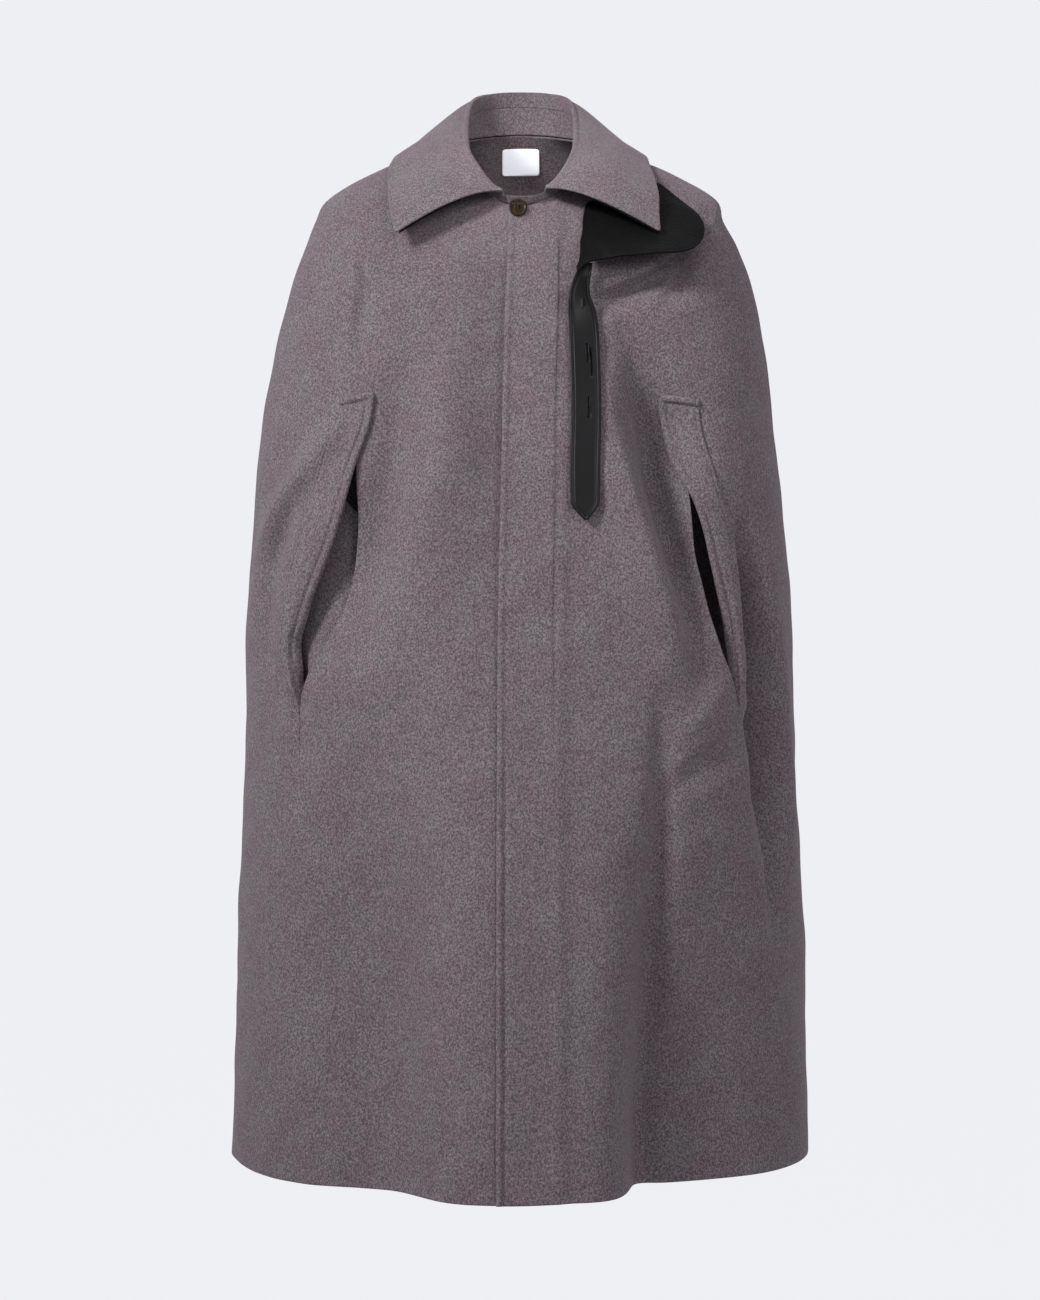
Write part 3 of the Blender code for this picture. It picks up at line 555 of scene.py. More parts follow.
def colour(hex_value, alpha=1.0):
    """An sRGB hex colour as linear light."""
    parts = [int(hex_value[place:place + 2], 16) / 255 for place in (1, 3, 5)]
    linear = [part / 12.92 if part <= 0.04045 else ((part + 0.055) / 1.055) ** 2.4
              for part in parts]
    return (*linear, alpha)


def add_node(material, kind, inputs, **settings):
    """Add a node; an input is a number, a colour or another node's output."""
    tree = material.node_tree
    node = tree.nodes.new(kind)
    for name, value in settings.items():
        setattr(node, name, value)
    for name, value in inputs.items():
        socket = node.inputs[name]
        if isinstance(value, bpy.types.NodeSocket):
            tree.links.new(value, socket)
        else:
            socket.default_value = value
    return node


def new_material(name):
    """A material with a Principled shader and the Object coordinates of its piece."""
    material = bpy.data.materials.new(name)
    material.use_nodes = True
    shader = material.node_tree.nodes["Principled BSDF"]
    place = material.node_tree.nodes.new("ShaderNodeTexCoord").outputs["Object"]
    return material, shader, place


def finish_shader(material, shader, values, tone=None, relief=None):
    """Set the shader's even values, and link the pattern of its colour and of its relief."""
    for name, value in values.items():
        shader.inputs[name].default_value = value
    for name, output in (("Base Color", tone), ("Normal", relief)):
        if output is not None:
            material.node_tree.links.new(output, shader.inputs[name])


def per_metre(size_mm):
    """The noise scale whose features are that many millimetres across."""
    return 1.0 / (size_mm * MM)


print("white is", colour("#ffffff")[:3])

# %% [markdown]
# ## The wool
# Felted double-face wool is woven, then washed and brushed until the weave disappears under a short
# nap. The yarn is spun from fibres dyed apart, so light and dark greys with a touch of violet mix:
# the eye sees small flecks on a slightly patchy ground, very matt, with a faint bloom of light where
# the nap stands on a curve. One noise mixes three greys into flecks, drawn 1.5 mm across because
# single fibres are too fine to show. A broad one makes some places more violet and others plainer,
# and a third raises the nap.

# %% The wool
WOOL_DARK = colour("#322c2f")
WOOL_MIDDLE = colour("#453c40")
WOOL_LIGHT = colour("#584e52")

felted_wool, shader, place = new_material("felted_wool")
fibre_lay = add_node(felted_wool, "ShaderNodeMapping",
                     {"Vector": place, "Scale": (1.0, 1.0, 0.75)})
fleck = add_node(felted_wool, "ShaderNodeTexNoise",
                 {"Vector": fibre_lay.outputs[0], "Scale": per_metre(1.5), "Detail": 2.0,
                  "Roughness": 0.6})
patch = add_node(felted_wool, "ShaderNodeTexNoise",
                 {"Vector": place, "Scale": per_metre(34.0), "Detail": 2.0, "Roughness": 0.6})
tone = add_node(felted_wool, "ShaderNodeValToRGB", {"Fac": fleck.outputs["Fac"]})
ramp_stops = tone.color_ramp.elements
ramp_stops[0].position, ramp_stops[0].color = 0.36, WOOL_DARK
ramp_stops[1].position, ramp_stops[1].color = 0.64, WOOL_LIGHT
ramp_stops.new(0.5).color = WOOL_MIDDLE
tint_share = add_node(felted_wool, "ShaderNodeMapRange",
                      {"Value": patch.outputs["Fac"], "From Min": 0.36, "From Max": 0.66,
                       "To Min": 1.1, "To Max": 0.62}, interpolation_type="SMOOTHSTEP")
patchy_tone = add_node(felted_wool, "ShaderNodeHueSaturation",
                       {"Color": tone.outputs["Color"], "Saturation": tint_share.outputs[0]})
nap = add_node(felted_wool, "ShaderNodeTexNoise",
               {"Vector": fibre_lay.outputs[0], "Scale": per_metre(2.2), "Detail": 3.0,
                "Roughness": 0.7})
nap_bump = add_node(felted_wool, "ShaderNodeBump",
                    {"Height": nap.outputs["Fac"], "Strength": 0.55, "Distance": 0.0009})
finish_shader(felted_wool, shader,
              {"Roughness": 0.96, "Specular IOR Level": 0.2, "Sheen Weight": 0.1,
               "Sheen Roughness": 0.5, "Sheen Tint": colour("#b8adb2")},
              patchy_tone.outputs[0], nap_bump.outputs[0])
print("made", felted_wool.name)

# %% [markdown]
# ## The two leathers
# The broad part of the throat tab and the underside of the collar are pebble-grained calf: rolled so
# that the skin breaks into small raised cells about 3 mm wide. The narrow strap is smooth calf, with
# pores that are drawn nearly 1 mm apart because real ones are too fine to show. Both are dyed nearly
# black and take only a soft, broad shine. Cells from a Voronoi pattern make the pebbles, and fine
# noise the pores.

# %% The grained leather
grained_leather, shader, place = new_material("grained_leather")
pebbles = add_node(grained_leather, "ShaderNodeTexVoronoi",
                   {"Vector": place, "Scale": per_metre(3.0), "Randomness": 0.9},
                   feature="SMOOTH_F1")
wrinkle = add_node(grained_leather, "ShaderNodeTexNoise",
                   {"Vector": place, "Scale": per_metre(9.0), "Detail": 3.0})
grain_tone = add_node(grained_leather, "ShaderNodeMix",
                      {0: wrinkle.outputs["Fac"], 6: colour("#040405"), 7: colour("#090909")},
                      data_type="RGBA")
pebble_bump = add_node(grained_leather, "ShaderNodeBump",
                       {"Height": pebbles.outputs["Distance"], "Strength": 0.6,
                        "Distance": 0.0008}, invert=True)
finish_shader(grained_leather, shader, {"Roughness": 0.5, "Specular IOR Level": 0.045},
              grain_tone.outputs[2], pebble_bump.outputs[0])
print("made", grained_leather.name)

# %% The smooth leather
smooth_leather, shader, place = new_material("smooth_leather")
pores = add_node(smooth_leather, "ShaderNodeTexNoise",
                 {"Vector": place, "Scale": per_metre(0.9), "Detail": 2.0})
stretch = add_node(smooth_leather, "ShaderNodeTexNoise",
                   {"Vector": place, "Scale": per_metre(22.0), "Detail": 3.0})
strap_tone = add_node(smooth_leather, "ShaderNodeMix",
                      {0: stretch.outputs["Fac"], 6: colour("#050506"), 7: colour("#0a0a0b")},
                      data_type="RGBA")
pore_bump = add_node(smooth_leather, "ShaderNodeBump",
                     {"Height": pores.outputs["Fac"], "Strength": 0.35, "Distance": 0.0003})
finish_shader(smooth_leather, shader, {"Roughness": 0.4, "Specular IOR Level": 0.09},
              strap_tone.outputs[2], pore_bump.outputs[0])
print("made", smooth_leather.name)

# %% [markdown]
# ## Rows and columns
# The grid of a cloth follows its edges. Rows stand about 4.5 mm apart down the cloth and crowd
# together at the neck seam and the hem. Columns run from one seam line to the next, and are spaced
# by true distance along the cloth, so that a deep fold gets as many as a flat place. The short lists
# say how far from an edge or a stitch line the first few rows or columns lie.

# %% Stops along a line
SPACING = 4.5
RAW_EDGE = (0.0, 0.3, 0.8, 1.5, 2.6, 4.2)
STITCHED_EDGE = (0.0, 0.3, 0.8, 1.5, 2.4, 3.5, 4.6, 5.8, 6.9, 7.7, 8.3, 8.8, 9.3, 9.9, 10.8,
                 12.6)
SEAM_EDGE = (0.0, 0.3, 0.8, 1.6, 3.0, 5.0, 6.8, 7.8, 8.6, 9.4, 10.4, 12.0)
GROOVE = (0.0, 0.5, 1.0, 1.6, 2.4, 3.6, 5.2, 7.4)
ENDS_AT_MOST = 0.6


def stops(length, count, start_steps, end_steps):
    """Places along each length: at the given steps from its two ends, and even between them."""
    length = np.atleast_1d(length)[:, None]
    start, end = np.array(start_steps)[None], np.array(end_steps)[None, ::-1]
    squeeze = np.minimum(1.0, ENDS_AT_MOST * length / (start[:, -1:] + end[:, :1]))
    first, last = start * squeeze, length - end * squeeze
    shares = np.linspace(0.0, 1.0, count + 2)[1:-1]
    return np.concatenate([first, lerp(first[:, -1:], last[:, :1], shares), last], axis=1)


def path_length(points):
    """Distance along each row of points, from its start."""
    steps = np.linalg.norm(np.diff(points, axis=-2), axis=-1)
    return np.concatenate([np.zeros(steps.shape[:-1] + (1,)), np.cumsum(steps, axis=-1)], axis=-1)


print("stops of a 20 mm strip:", stops(20.0, 2, RAW_EDGE, RAW_EDGE)[0].round(1))

# %% [markdown]
# Turns and levels aren't distances, so a line of the cloth is first sampled finely and measured, and
# the rows and columns are then set where the measured distance calls for them.

# %% Rows and columns along the cloth
FINE_LEVELS = 1501
FINE_TURNS = 181


def row_levels(turn, keep=()):
    """The levels of the rows down a panel; a level in keep gets a row of its own."""
    fine = np.linspace(0.0, HEM, FINE_LEVELS)
    along = path_length(body_point(np.full(fine.shape, float(turn)), fine, "side"))
    count = int(along[-1] / SPACING)
    levels = np.interp(stops(along[-1], count, RAW_EDGE, RAW_EDGE)[0], along, fine)
    for level in keep:
        levels[np.argmin(np.abs(levels - level))] = level
    return levels


def span_turns(start, end, levels, part, start_steps, end_steps):
    """The turns of the columns from one line of the cloth to the next, and their distances."""
    fine = lerp(start[:, None], end[:, None], np.linspace(0.0, 1.0, FINE_TURNS))
    along = path_length(body_point(fine, levels[:, None], part))
    longest = along[:, -1].max() - start_steps[-1] - end_steps[-1]
    places = stops(along[:, -1], max(1, int(longest / SPACING)), start_steps, end_steps)
    return np.array([np.interp(place, row, turn) for place, row, turn in zip(places, along, fine)])


def join_spans(spans):
    """Put spans side by side; each next one starts with the column that the last one ended on."""
    return np.concatenate([spans[0]] + [span[:, 1:] for span in spans[1:]], axis=1)


print("rows down a panel:", len(row_levels(60.0)))

# %% [markdown]
# ## The back
# The back is two panels with a seam down the middle. It is made first, because it is the plainest
# use of the grid: columns from the overarm seam to the centre back, a soft edge at the seams and
# hem, and a stitch line sunk beside the overarm seam.

# %% The seam lines
Edge = namedtuple("Edge", "level lap left_seam right_seam")
EDGES = (
    Edge(0, 12, 90, -92),
    Edge(3, 14, 85, -91),
    Edge(4, 15, 82, -92),
    Edge(5, 16, 78, -93),
    Edge(6, 17, 80, -93),
    Edge(8, 19, 86, -93),
    Edge(10, 22, 90, -93),
    Edge(15, 23, 90, -93),
)
EDGE_RADIUS = 1.3
SEAM_RADIUS = 0.9
SEAM_LAP = 0.5
SEAM_STITCH = (9.0, 1.3)  # place and width, as pinch takes them
SEAM_PINCH = 0.6


def half_lap_turn(turn, level, sign):
    """Move a seam line by half the lap of the two panels."""
    point, _ = ring_frame(turn, level)
    beside, _ = ring_frame(turn + 1.0, level)
    per_degree = np.linalg.norm(beside - point, axis=-1)
    return turn - sign * 0.5 * SEAM_LAP / per_degree


print("left seam at the elbow in degrees:", read(EDGES, "left_seam", 9.0).round(1))

# %% [markdown]
# A panel's thickness follows from how far each of its points is from its four edges, so it is the
# same code for every panel: thin and round at the rims, full between them.

# %% A panel of the cape


def end_distances(points):
    """How far each point is from the top, bottom, first and last edge of its grid."""
    down = path_length(points.swapaxes(0, 1)).swapaxes(0, 1)
    across = path_length(points)
    return down, down[-1:] - down, across, across[:, -1:] - across


def add_panel(name, points, half, open_cells=(), parts=None):
    """A panel whose outer face goes through the points; parts are grids with their own normals."""
    normal = np.concatenate([grid_normals(part) for part in (parts or (points,))], axis=1)
    return add_faced_cloth(name, points, normal, WOOL, half, open_cells)


def add_back(name, first_line, last_line, levels, seam_is_first):
    """A back from one line to the next; the overarm seam is its first or its last line."""
    steps = (SEAM_EDGE, RAW_EDGE) if seam_is_first else (RAW_EDGE, SEAM_EDGE)
    turns = span_turns(first_line, last_line, levels, "side", *steps)
    points = cloth_point(turns, levels[:, None], "side")
    top, bottom, first, last = end_distances(points)
    half = 0.5 * WOOL * (rim(top, SEAM_RADIUS) * rim(bottom, EDGE_RADIUS))
    half = half * rim(first, SEAM_RADIUS) * rim(last, SEAM_RADIUS)
    half = half - SEAM_PINCH * pinch(first if seam_is_first else last, *SEAM_STITCH)
    return add_panel(name, points, half)


print("full thickness in mm:", WOOL)

# %% The two backs
BACK_ROWS_AT = 150.0

levels = row_levels(BACK_ROWS_AT)
left_seam, right_seam = read(EDGES, "left_seam", levels), read(EDGES, "right_seam", levels) + 360
centre_back = np.full(levels.shape, 180.0)
back_left = add_back("back_left", half_lap_turn(left_seam, levels, 1),
                     half_lap_turn(centre_back, levels, -1), levels, True)
back_right = add_back("back_right", half_lap_turn(centre_back, levels, 1),
                      half_lap_turn(right_seam, levels, -1), levels, False)
settle(back_left, "back_left", felted_wool)
settle(back_right, "back_right", felted_wool)

# %% [markdown]
# ## The fronts
# Each front runs from its edge past the arm slit to the overarm seam. The left front laps over the
# right one and hides the fly: a line of stitching 50 to 56 mm in from the edge holds the fly's facing
# and sinks into the wool. First come the lines that the fronts are drawn between.

# %% The lap and the fly
LAYER_GAP = 0.9
UNDER_EDGE_ACROSS = 31.0
LAP_FADES = (UNDER_EDGE_ACROSS + 2.0, 50.0)
LAP_LIFT = WOOL + LAYER_GAP
SLIT_STEP_MM = 75.0  # about the length of cloth from one level to the next

FlyRow = namedtuple("FlyRow", "level across")
FLY = (FlyRow(0, 38), FlyRow(1.7, 39), FlyRow(4.7, 38), FlyRow(7, 35), FlyRow(8.5, 34),
       FlyRow(10.1, 32), FlyRow(10.9, 33), FlyRow(15, 33))


def turn_at(across, level):
    """The turn of the front point that lies so far to the wearer's left (+) or right (-)."""
    half = np.where(across < 0, read(RINGS, "right_half", level), read(RINGS, "left_half", level))
    share = np.clip(np.abs(across) / half, 0, 1)
    power = read(RINGS, "squareness", level) / 2.0
    return np.sign(across) * np.degrees(np.arcsin(share ** power))


def lap_lift(across):
    """The top front lies over the under front, and comes down to the body past the fly."""
    return LAP_LIFT * (1 - ramp(across, *LAP_FADES))


def slit_rim(distance, levels):
    """The rounded cut edge of a slit, which ends where the slit does."""
    beyond = np.maximum(SLIT_TOP - levels, 0) + np.maximum(levels - SLIT_BOTTOM, 0)
    return rim(np.hypot(distance, beyond[:, None] * SLIT_STEP_MM), EDGE_RADIUS)


print("the top front lies higher by, in mm:", LAP_LIFT)

# %% [markdown]
# Where the top front's edge presses on it, the under front sinks at the chest, most beside the
# edge. From the waist down, where the edges hang free, it stands a little proud there instead.

# %% Top and under front
EDGE_DEEPENS = (9.6, 13.2)
UNDER_SINK = 8.0
UNDER_SINK_REACH = 34.0
UNDER_SINKS = (1.6, 3.6)
UNDER_SINK_FADES = (8.0, 12.0)
UNDER_SWELL = 1.1
UNDER_SWELL_PLACE = (3.2, 1.6, 5.0)  # place, width before and width after, as pinch takes them


def lift_over(points, turns, levels):
    """The top front lies over the under front."""
    _, out = ring_frame(turns, levels[:, None])
    return points + out * lap_lift(points[..., 0])[..., None]


def press_under(points, levels):
    """The under front gives way to the edge of the top front."""
    lap_away = np.maximum(-read(EDGES, "lap", levels)[:, None] - points[..., 0], 0)
    depth = UNDER_SINK * ramp(levels, *UNDER_SINKS) * (1 - ramp(levels, *UNDER_SINK_FADES))
    swell = UNDER_SWELL * ramp(levels, *EDGE_DEEPENS)
    points[..., 1] += depth[:, None] * np.exp(-(lap_away / UNDER_SINK_REACH) ** 2)
    points[..., 1] -= swell[:, None] * pinch(lap_away, *UNDER_SWELL_PLACE)
    return points


print("the under front sinks up to, in mm:", UNDER_SINK)

# %% [markdown]
# Two rows of stitches are sunk into a front. One runs beside its edge, where the turned-in cloth
# makes a soft roll, and is faint at the chest and deep towards the hem. The other is the fly's line,
# on the top front only, which fades out below the waist. Thread can't be seen in felted wool, so
# only the groove is made: the cloth is thinner there and its face lies lower.

# %% Stitch lines of the fronts
LAP_RADIUS = 2.4
EDGE_PUFF = 1.0
EDGE_PUFF_PLACE = (3.6, 2.2)
EDGE_STITCH = (8.8, 2.4, 1.4)
EDGE_FAINT = 0.12
EDGE_PINCH = 1.0
EDGE_SINK = 0.5
FLY_STARTS = (1.2, 2.2)
FLY_FADES = (10.3, 11.2)
FLY_STITCH = (0.0, 2.1, 6.0)
FLY_PINCH = 0.7
FLY_SINK = 0.8


def sink_line(points, half, sunk, pinch_depth, sink_depth):
    """Thin the cloth and lower its face where sunk is above 0."""
    points = points - grid_normals(points) * (sink_depth * sunk)[..., None]
    return points, half - pinch_depth * sunk


def stitch_edge(points, half, levels):
    edge = end_distances(points)[2]
    strength = lerp(EDGE_FAINT, 1.0, ramp(levels, *EDGE_DEEPENS))[:, None]
    half = half + EDGE_PUFF * pinch(edge, *EDGE_PUFF_PLACE)
    return sink_line(points, half, strength * pinch(edge, *EDGE_STITCH), EDGE_PINCH, EDGE_SINK)


def stitch_fly(points, half, levels):
    fly = points[..., 0] - read(FLY, "across", levels)[:, None]
    strength = ramp(levels, *FLY_STARTS) * (1 - ramp(levels, *FLY_FADES))
    sunk = strength[:, None] * pinch(fly, *FLY_STITCH)
    return sink_line(points, half, sunk, FLY_PINCH, FLY_SINK)


print("stitch line from the front edge in mm:", EDGE_STITCH[0])

# %% [markdown]
# The grid of a front has one block of columns before the arm slit and one behind it. The cells
# between the two blocks are left open where the slit is, and closed above and below it. The right
# front is worked out from its edge too, and turned round at the end so that its faces point out.

# %% A front


def front_half(points, edge_column, edge_radius, levels):
    """Half the thickness of a block; edge_column is its outer edge's place in end_distances."""
    ends = end_distances(points)
    half = rim(ends[0], SEAM_RADIUS) * rim(ends[1], EDGE_RADIUS)
    half = half * rim(ends[edge_column], edge_radius) * slit_rim(ends[5 - edge_column], levels)
    return 0.5 * WOOL * half


def front_panel(name, slit, sign, near_lines, near_steps, seam_line, levels, lapped):
    """A front from its edge to the overarm seam, with its arm slit left open."""
    cuts = [sign * read(slit, column, levels) for column in ("front_cut", "side_cut")]
    lines = [*near_lines, cuts[0]]
    near = join_spans([span_turns(lines[place], lines[place + 1], levels, "front", *steps)
                       for place, steps in enumerate(near_steps)])
    far = span_turns(cuts[1], seam_line, levels, "side", RAW_EDGE, SEAM_EDGE)
    near_points = cloth_point(near, levels[:, None], "front")
    far_points = cloth_point(far, levels[:, None], "side")
    near_points = (lift_over(near_points, near, levels) if lapped
                   else press_under(near_points, levels))
    near_half = front_half(near_points, 2, LAP_RADIUS, levels)
    far_half = front_half(far_points, 3, SEAM_RADIUS, levels)
    near_points, near_half = stitch_edge(near_points, near_half, levels)
    if lapped:
        near_points, near_half = stitch_fly(near_points, near_half, levels)
    far_half = far_half - SEAM_PINCH * pinch(end_distances(far_points)[3], *SEAM_STITCH)
    blocks, halves = [near_points, far_points], [near_half, far_half]
    if sign < 0:
        blocks = [points[:, ::-1] for points in blocks[::-1]]
        halves = [half[:, ::-1] for half in halves[::-1]]
    column = blocks[0].shape[1] - 1
    open_cells = [(row, column) for row in range(len(levels) - 1)
                  if SLIT_TOP <= levels[row] < SLIT_BOTTOM]
    return add_panel(name, np.concatenate(blocks, axis=1), np.concatenate(halves, axis=1),
                     open_cells, blocks)


print("close columns at a front edge:", len(STITCHED_EDGE))

# %% The two fronts
FRONT_ROWS_AT = 40.0

levels = row_levels(FRONT_ROWS_AT, (SLIT_TOP, SLIT_BOTTOM))
lap_line = turn_at(-read(EDGES, "lap", levels), levels)
fly_line = turn_at(read(FLY, "across", levels), levels)
under_line = turn_at(np.full(levels.shape, UNDER_EDGE_ACROSS), levels)
left_seam = half_lap_turn(read(EDGES, "left_seam", levels), levels, -1)
right_seam = half_lap_turn(read(EDGES, "right_seam", levels), levels, 1)
front_left = front_panel("front_left", SLIT_LEFT, 1, [lap_line, fly_line],
                         [(STITCHED_EDGE, GROOVE), (GROOVE, RAW_EDGE)], left_seam, levels, True)
front_right = front_panel("front_right", SLIT_RIGHT, -1, [under_line],
                          [(STITCHED_EDGE, RAW_EDGE)], right_seam, levels, False)
settle(front_left, "front_left", felted_wool)
settle(front_right, "front_right", felted_wool)

# %% [markdown]
# ## The welts of the arm slits
# A welt is a folded strip, about 35 mm wide at its top, sewn to the side edge of the slit so that
# it stands over the opening like a narrow flap. Its free edge is soft and turned, a line of
# stitching 9 mm in holds the fold flat, and its sewn edge thins into the side cloth. The top end is
# slanted, with a rounded corner at the free edge. At its foot, where the slit closes, the strip runs
# in to its free edge and sinks into the cloth.

# %% A rounded corner


def round_corner(points, from_row_end, from_column_end, radius, row_step, column_step):
    """Pull the corner of a grid in to an arc; the steps point from its two edges into the cloth."""
    down = np.clip(1 - from_row_end / radius, 0, 1)
    side = np.clip(1 - from_column_end / radius, 0, 1)
    both = (down > 0) & (side > 0)
    down_moved = np.where(both, down * np.sqrt(1 - side ** 2 / 2), down)
    side_moved = np.where(both, side * np.sqrt(1 - down ** 2 / 2), side)
    moved = points + row_step * ((down - down_moved) * radius)[..., None]
    return moved + column_step * ((side - side_moved) * radius)[..., None]


print("a square corner of 1 mm is cut back by, in mm:", round(1 - math.sqrt(0.5), 2))

# %% The thickness of a welt
WELT_STITCH = (8.6, 2.0, 1.4)
WELT_PINCH = 1.5
WELT_PUFF = 0.8
WELT_PUFF_RISES = (0.5, 3.0)
WELT_PUFF_FALLS = (5.0, 8.0)
WELT_SEAM_STITCH = (3.4, 1.2)
WELT_SEAM_PINCH = 1.1
WELT_SEAM_STEP = 0.6
WELT_SEAM_REACH = 2.6
WELT_THINNEST = 0.12 * WOOL


def welt_half(ends, sink):
    """Half the thickness of a welt: puffed at its fold, pinched at its two stitch lines."""
    top_away, bottom_away, free_away, seam_away = ends
    seam_step = lerp(WELT_SEAM_STEP, 1.0, ramp(seam_away, 0.0, WELT_SEAM_REACH))
    half = 0.5 * WOOL * rim(top_away, EDGE_RADIUS) * rim(bottom_away, EDGE_RADIUS)
    half = half * rim(free_away, EDGE_RADIUS) * seam_step
    edge_away = np.minimum(free_away, top_away)
    puff = ramp(edge_away, *WELT_PUFF_RISES) * (1 - ramp(edge_away, *WELT_PUFF_FALLS))
    half = half + 0.5 * WELT_PUFF * puff
    half = half - 0.5 * WELT_PINCH * pinch(edge_away, *WELT_STITCH)
    half = half - 0.5 * WELT_SEAM_PINCH * sink[:, None] * pinch(seam_away, *WELT_SEAM_STITCH)
    return np.maximum(half, WELT_THINNEST)


print("thinnest half of a welt in mm:", round(WELT_THINNEST, 2))

# %% The two welts
SEAM_GAP = 0.3
WELT_LENGTH = 300.0
WELT_ROWS = 74
WELT_BOTTOM = 11.0
WELT_SLANT_ENDS = 0.55
WELT_CORNER = 6.0
WELT_TAPER = 0.72
WELT_TAPER_FROM = 0.86
WELT_END_SINK = 0.8
WELT_SINK_FROM = 0.935
WELT_EDGE = (0.0, 0.3, 0.8, 1.6, 2.8, 4.4, 6.2, 7.2, 7.9, 8.6, 9.3, 10.0, 11.2)
WELT_SEAM_EDGE = (0.0, 0.4, 1.0, 1.8, 2.6, 3.4, 4.2, 5.2, 7.0)
WeltTop = namedtuple("WeltTop", "free seam")
WELT_TOP_LEFT = WeltTop(6.82, 7.08)
WELT_TOP_RIGHT = WeltTop(6.80, 7.06)


def add_welt(name, slit, sign, top):
    """The strip over the slit: its rows slant at the top and follow the levels lower down."""
    row_share = stops(WELT_LENGTH, WELT_ROWS, WELT_EDGE, RAW_EDGE)[0] / WELT_LENGTH
    straight = lerp(0.5 * (top.free + top.seam), WELT_BOTTOM, row_share)
    free, cut = read(slit, "welt_free", straight), read(slit, "side_cut", straight)
    taper = WELT_TAPER * ramp(row_share, WELT_TAPER_FROM, 1.0)
    seam = lerp(read(slit, "welt_seam", straight), free, taper)
    turns = span_turns(sign * free, sign * seam, straight, "side", WELT_EDGE, WELT_SEAM_EDGE)
    across = (turns * sign - free[:, None]) / (seam - free)[:, None]
    slant = lerp(top.free, top.seam, across) - 0.5 * (top.free + top.seam)
    level = straight[:, None] + slant * (1 - ramp(row_share, 0.0, WELT_SLANT_ENDS))[:, None]
    lap = 1 - np.clip((turns * sign - free[:, None]) / (cut - free)[:, None], 0, 1)
    sink = 1 - WELT_END_SINK * ramp(row_share, WELT_SINK_FROM, 1.0)
    rise = (SEAM_GAP + WOOL) * sink[:, None] - read(slit, "dip", straight)[:, None] * lap
    base = cloth_point(turns, level, "side")
    normal = grid_normals(base) * sign
    points = base + normal * rise[..., None]
    ends = end_distances(points)
    down_step = unit(np.gradient(points, axis=0))
    side_step = unit(np.gradient(points, axis=1))
    points = round_corner(points, ends[0], ends[2], WELT_CORNER, down_step, side_step)
    half = welt_half(ends, sink)
    middle = points - normal * (WOOL - half)[..., None]
    if sign < 0:
        middle, normal, half = middle[:, ::-1], normal[:, ::-1], half[:, ::-1]
    return add_cloth(name, middle, normal, half)


slit_welt_left = add_welt("slit_welt_left", SLIT_LEFT, 1, WELT_TOP_LEFT)
slit_welt_right = add_welt("slit_welt_right", SLIT_RIGHT, -1, WELT_TOP_RIGHT)
settle(slit_welt_left, "slit_welt_left", felted_wool)
settle(slit_welt_right, "slit_welt_right", felted_wool)

# %% [markdown]
# Behind the open lower half of the right slit lies a narrow facing: the cloth that the opening shows
# is the coat's own grey, in shade. It runs from under the front's cut edge to under the welt, and it
# starts a little below the slit's top, where the gap looks into the dark of the coat.

# %% The facing of the right slit
FACING_TOP_SIDE = 8.3
FACING_TOP_FRONT = 8.8
FACING_BOTTOM = 10.9
FACING_FRONT_DEPTH = 11.0
FACING_SIDE_DEPTH = 20.0
FACING_REACH = 2.2
FACING_GRID = (60, 22)


def rounded_half(points, thickness, radius):
    """Half the thickness of a piece that is rounded at its four edges."""
    half = 0.5 * thickness * np.ones(points.shape[:2])
    for away in end_distances(points):
        half = half * rim(away, radius)
    return half


facing_share = np.linspace(0.0, 1.0, FACING_GRID[1])
facing_top = lerp(FACING_TOP_SIDE, FACING_TOP_FRONT, facing_share)
facing_down = np.linspace(0.0, 1.0, FACING_GRID[0])[:, None]
facing_levels = lerp(facing_top, FACING_BOTTOM, facing_down)
facing_turns = lerp(-read(SLIT_RIGHT, "side_cut", facing_levels) - FACING_REACH,
                    -read(SLIT_RIGHT, "front_cut", facing_levels) + FACING_REACH, facing_share)
facing_front = cloth_point(facing_turns, facing_levels, "front")
facing_side = cloth_point(facing_turns, facing_levels, "side")
_, facing_out = ring_frame(facing_turns, facing_levels)
facing = lerp(facing_side - facing_out * FACING_SIDE_DEPTH,
              facing_front - facing_out * FACING_FRONT_DEPTH, ramp(facing_share, 0.0, 1.0)[:, None])
slit_facing_right = add_faced_cloth("slit_facing_right", facing, grid_normals(facing), WOOL,
                                    rounded_half(facing, WOOL, EDGE_RADIUS))
settle(slit_facing_right, None, felted_wool)

# %% [markdown]
# ## The collar
# A turn-down collar has two parts. The stand is a band that rises from the neck seam. The leaf is
# sewn to it inside the neck, rolls over its top edge and falls outwards to two points. The leaf is a
# grid with a column for every few millimetres of neck: up inside the neck, over the roll, and down
# a bellied curve to its free edge. Black leather backs the leaf, so its underside is dark. Two
# tables give the roll line and the free edge round the neck.

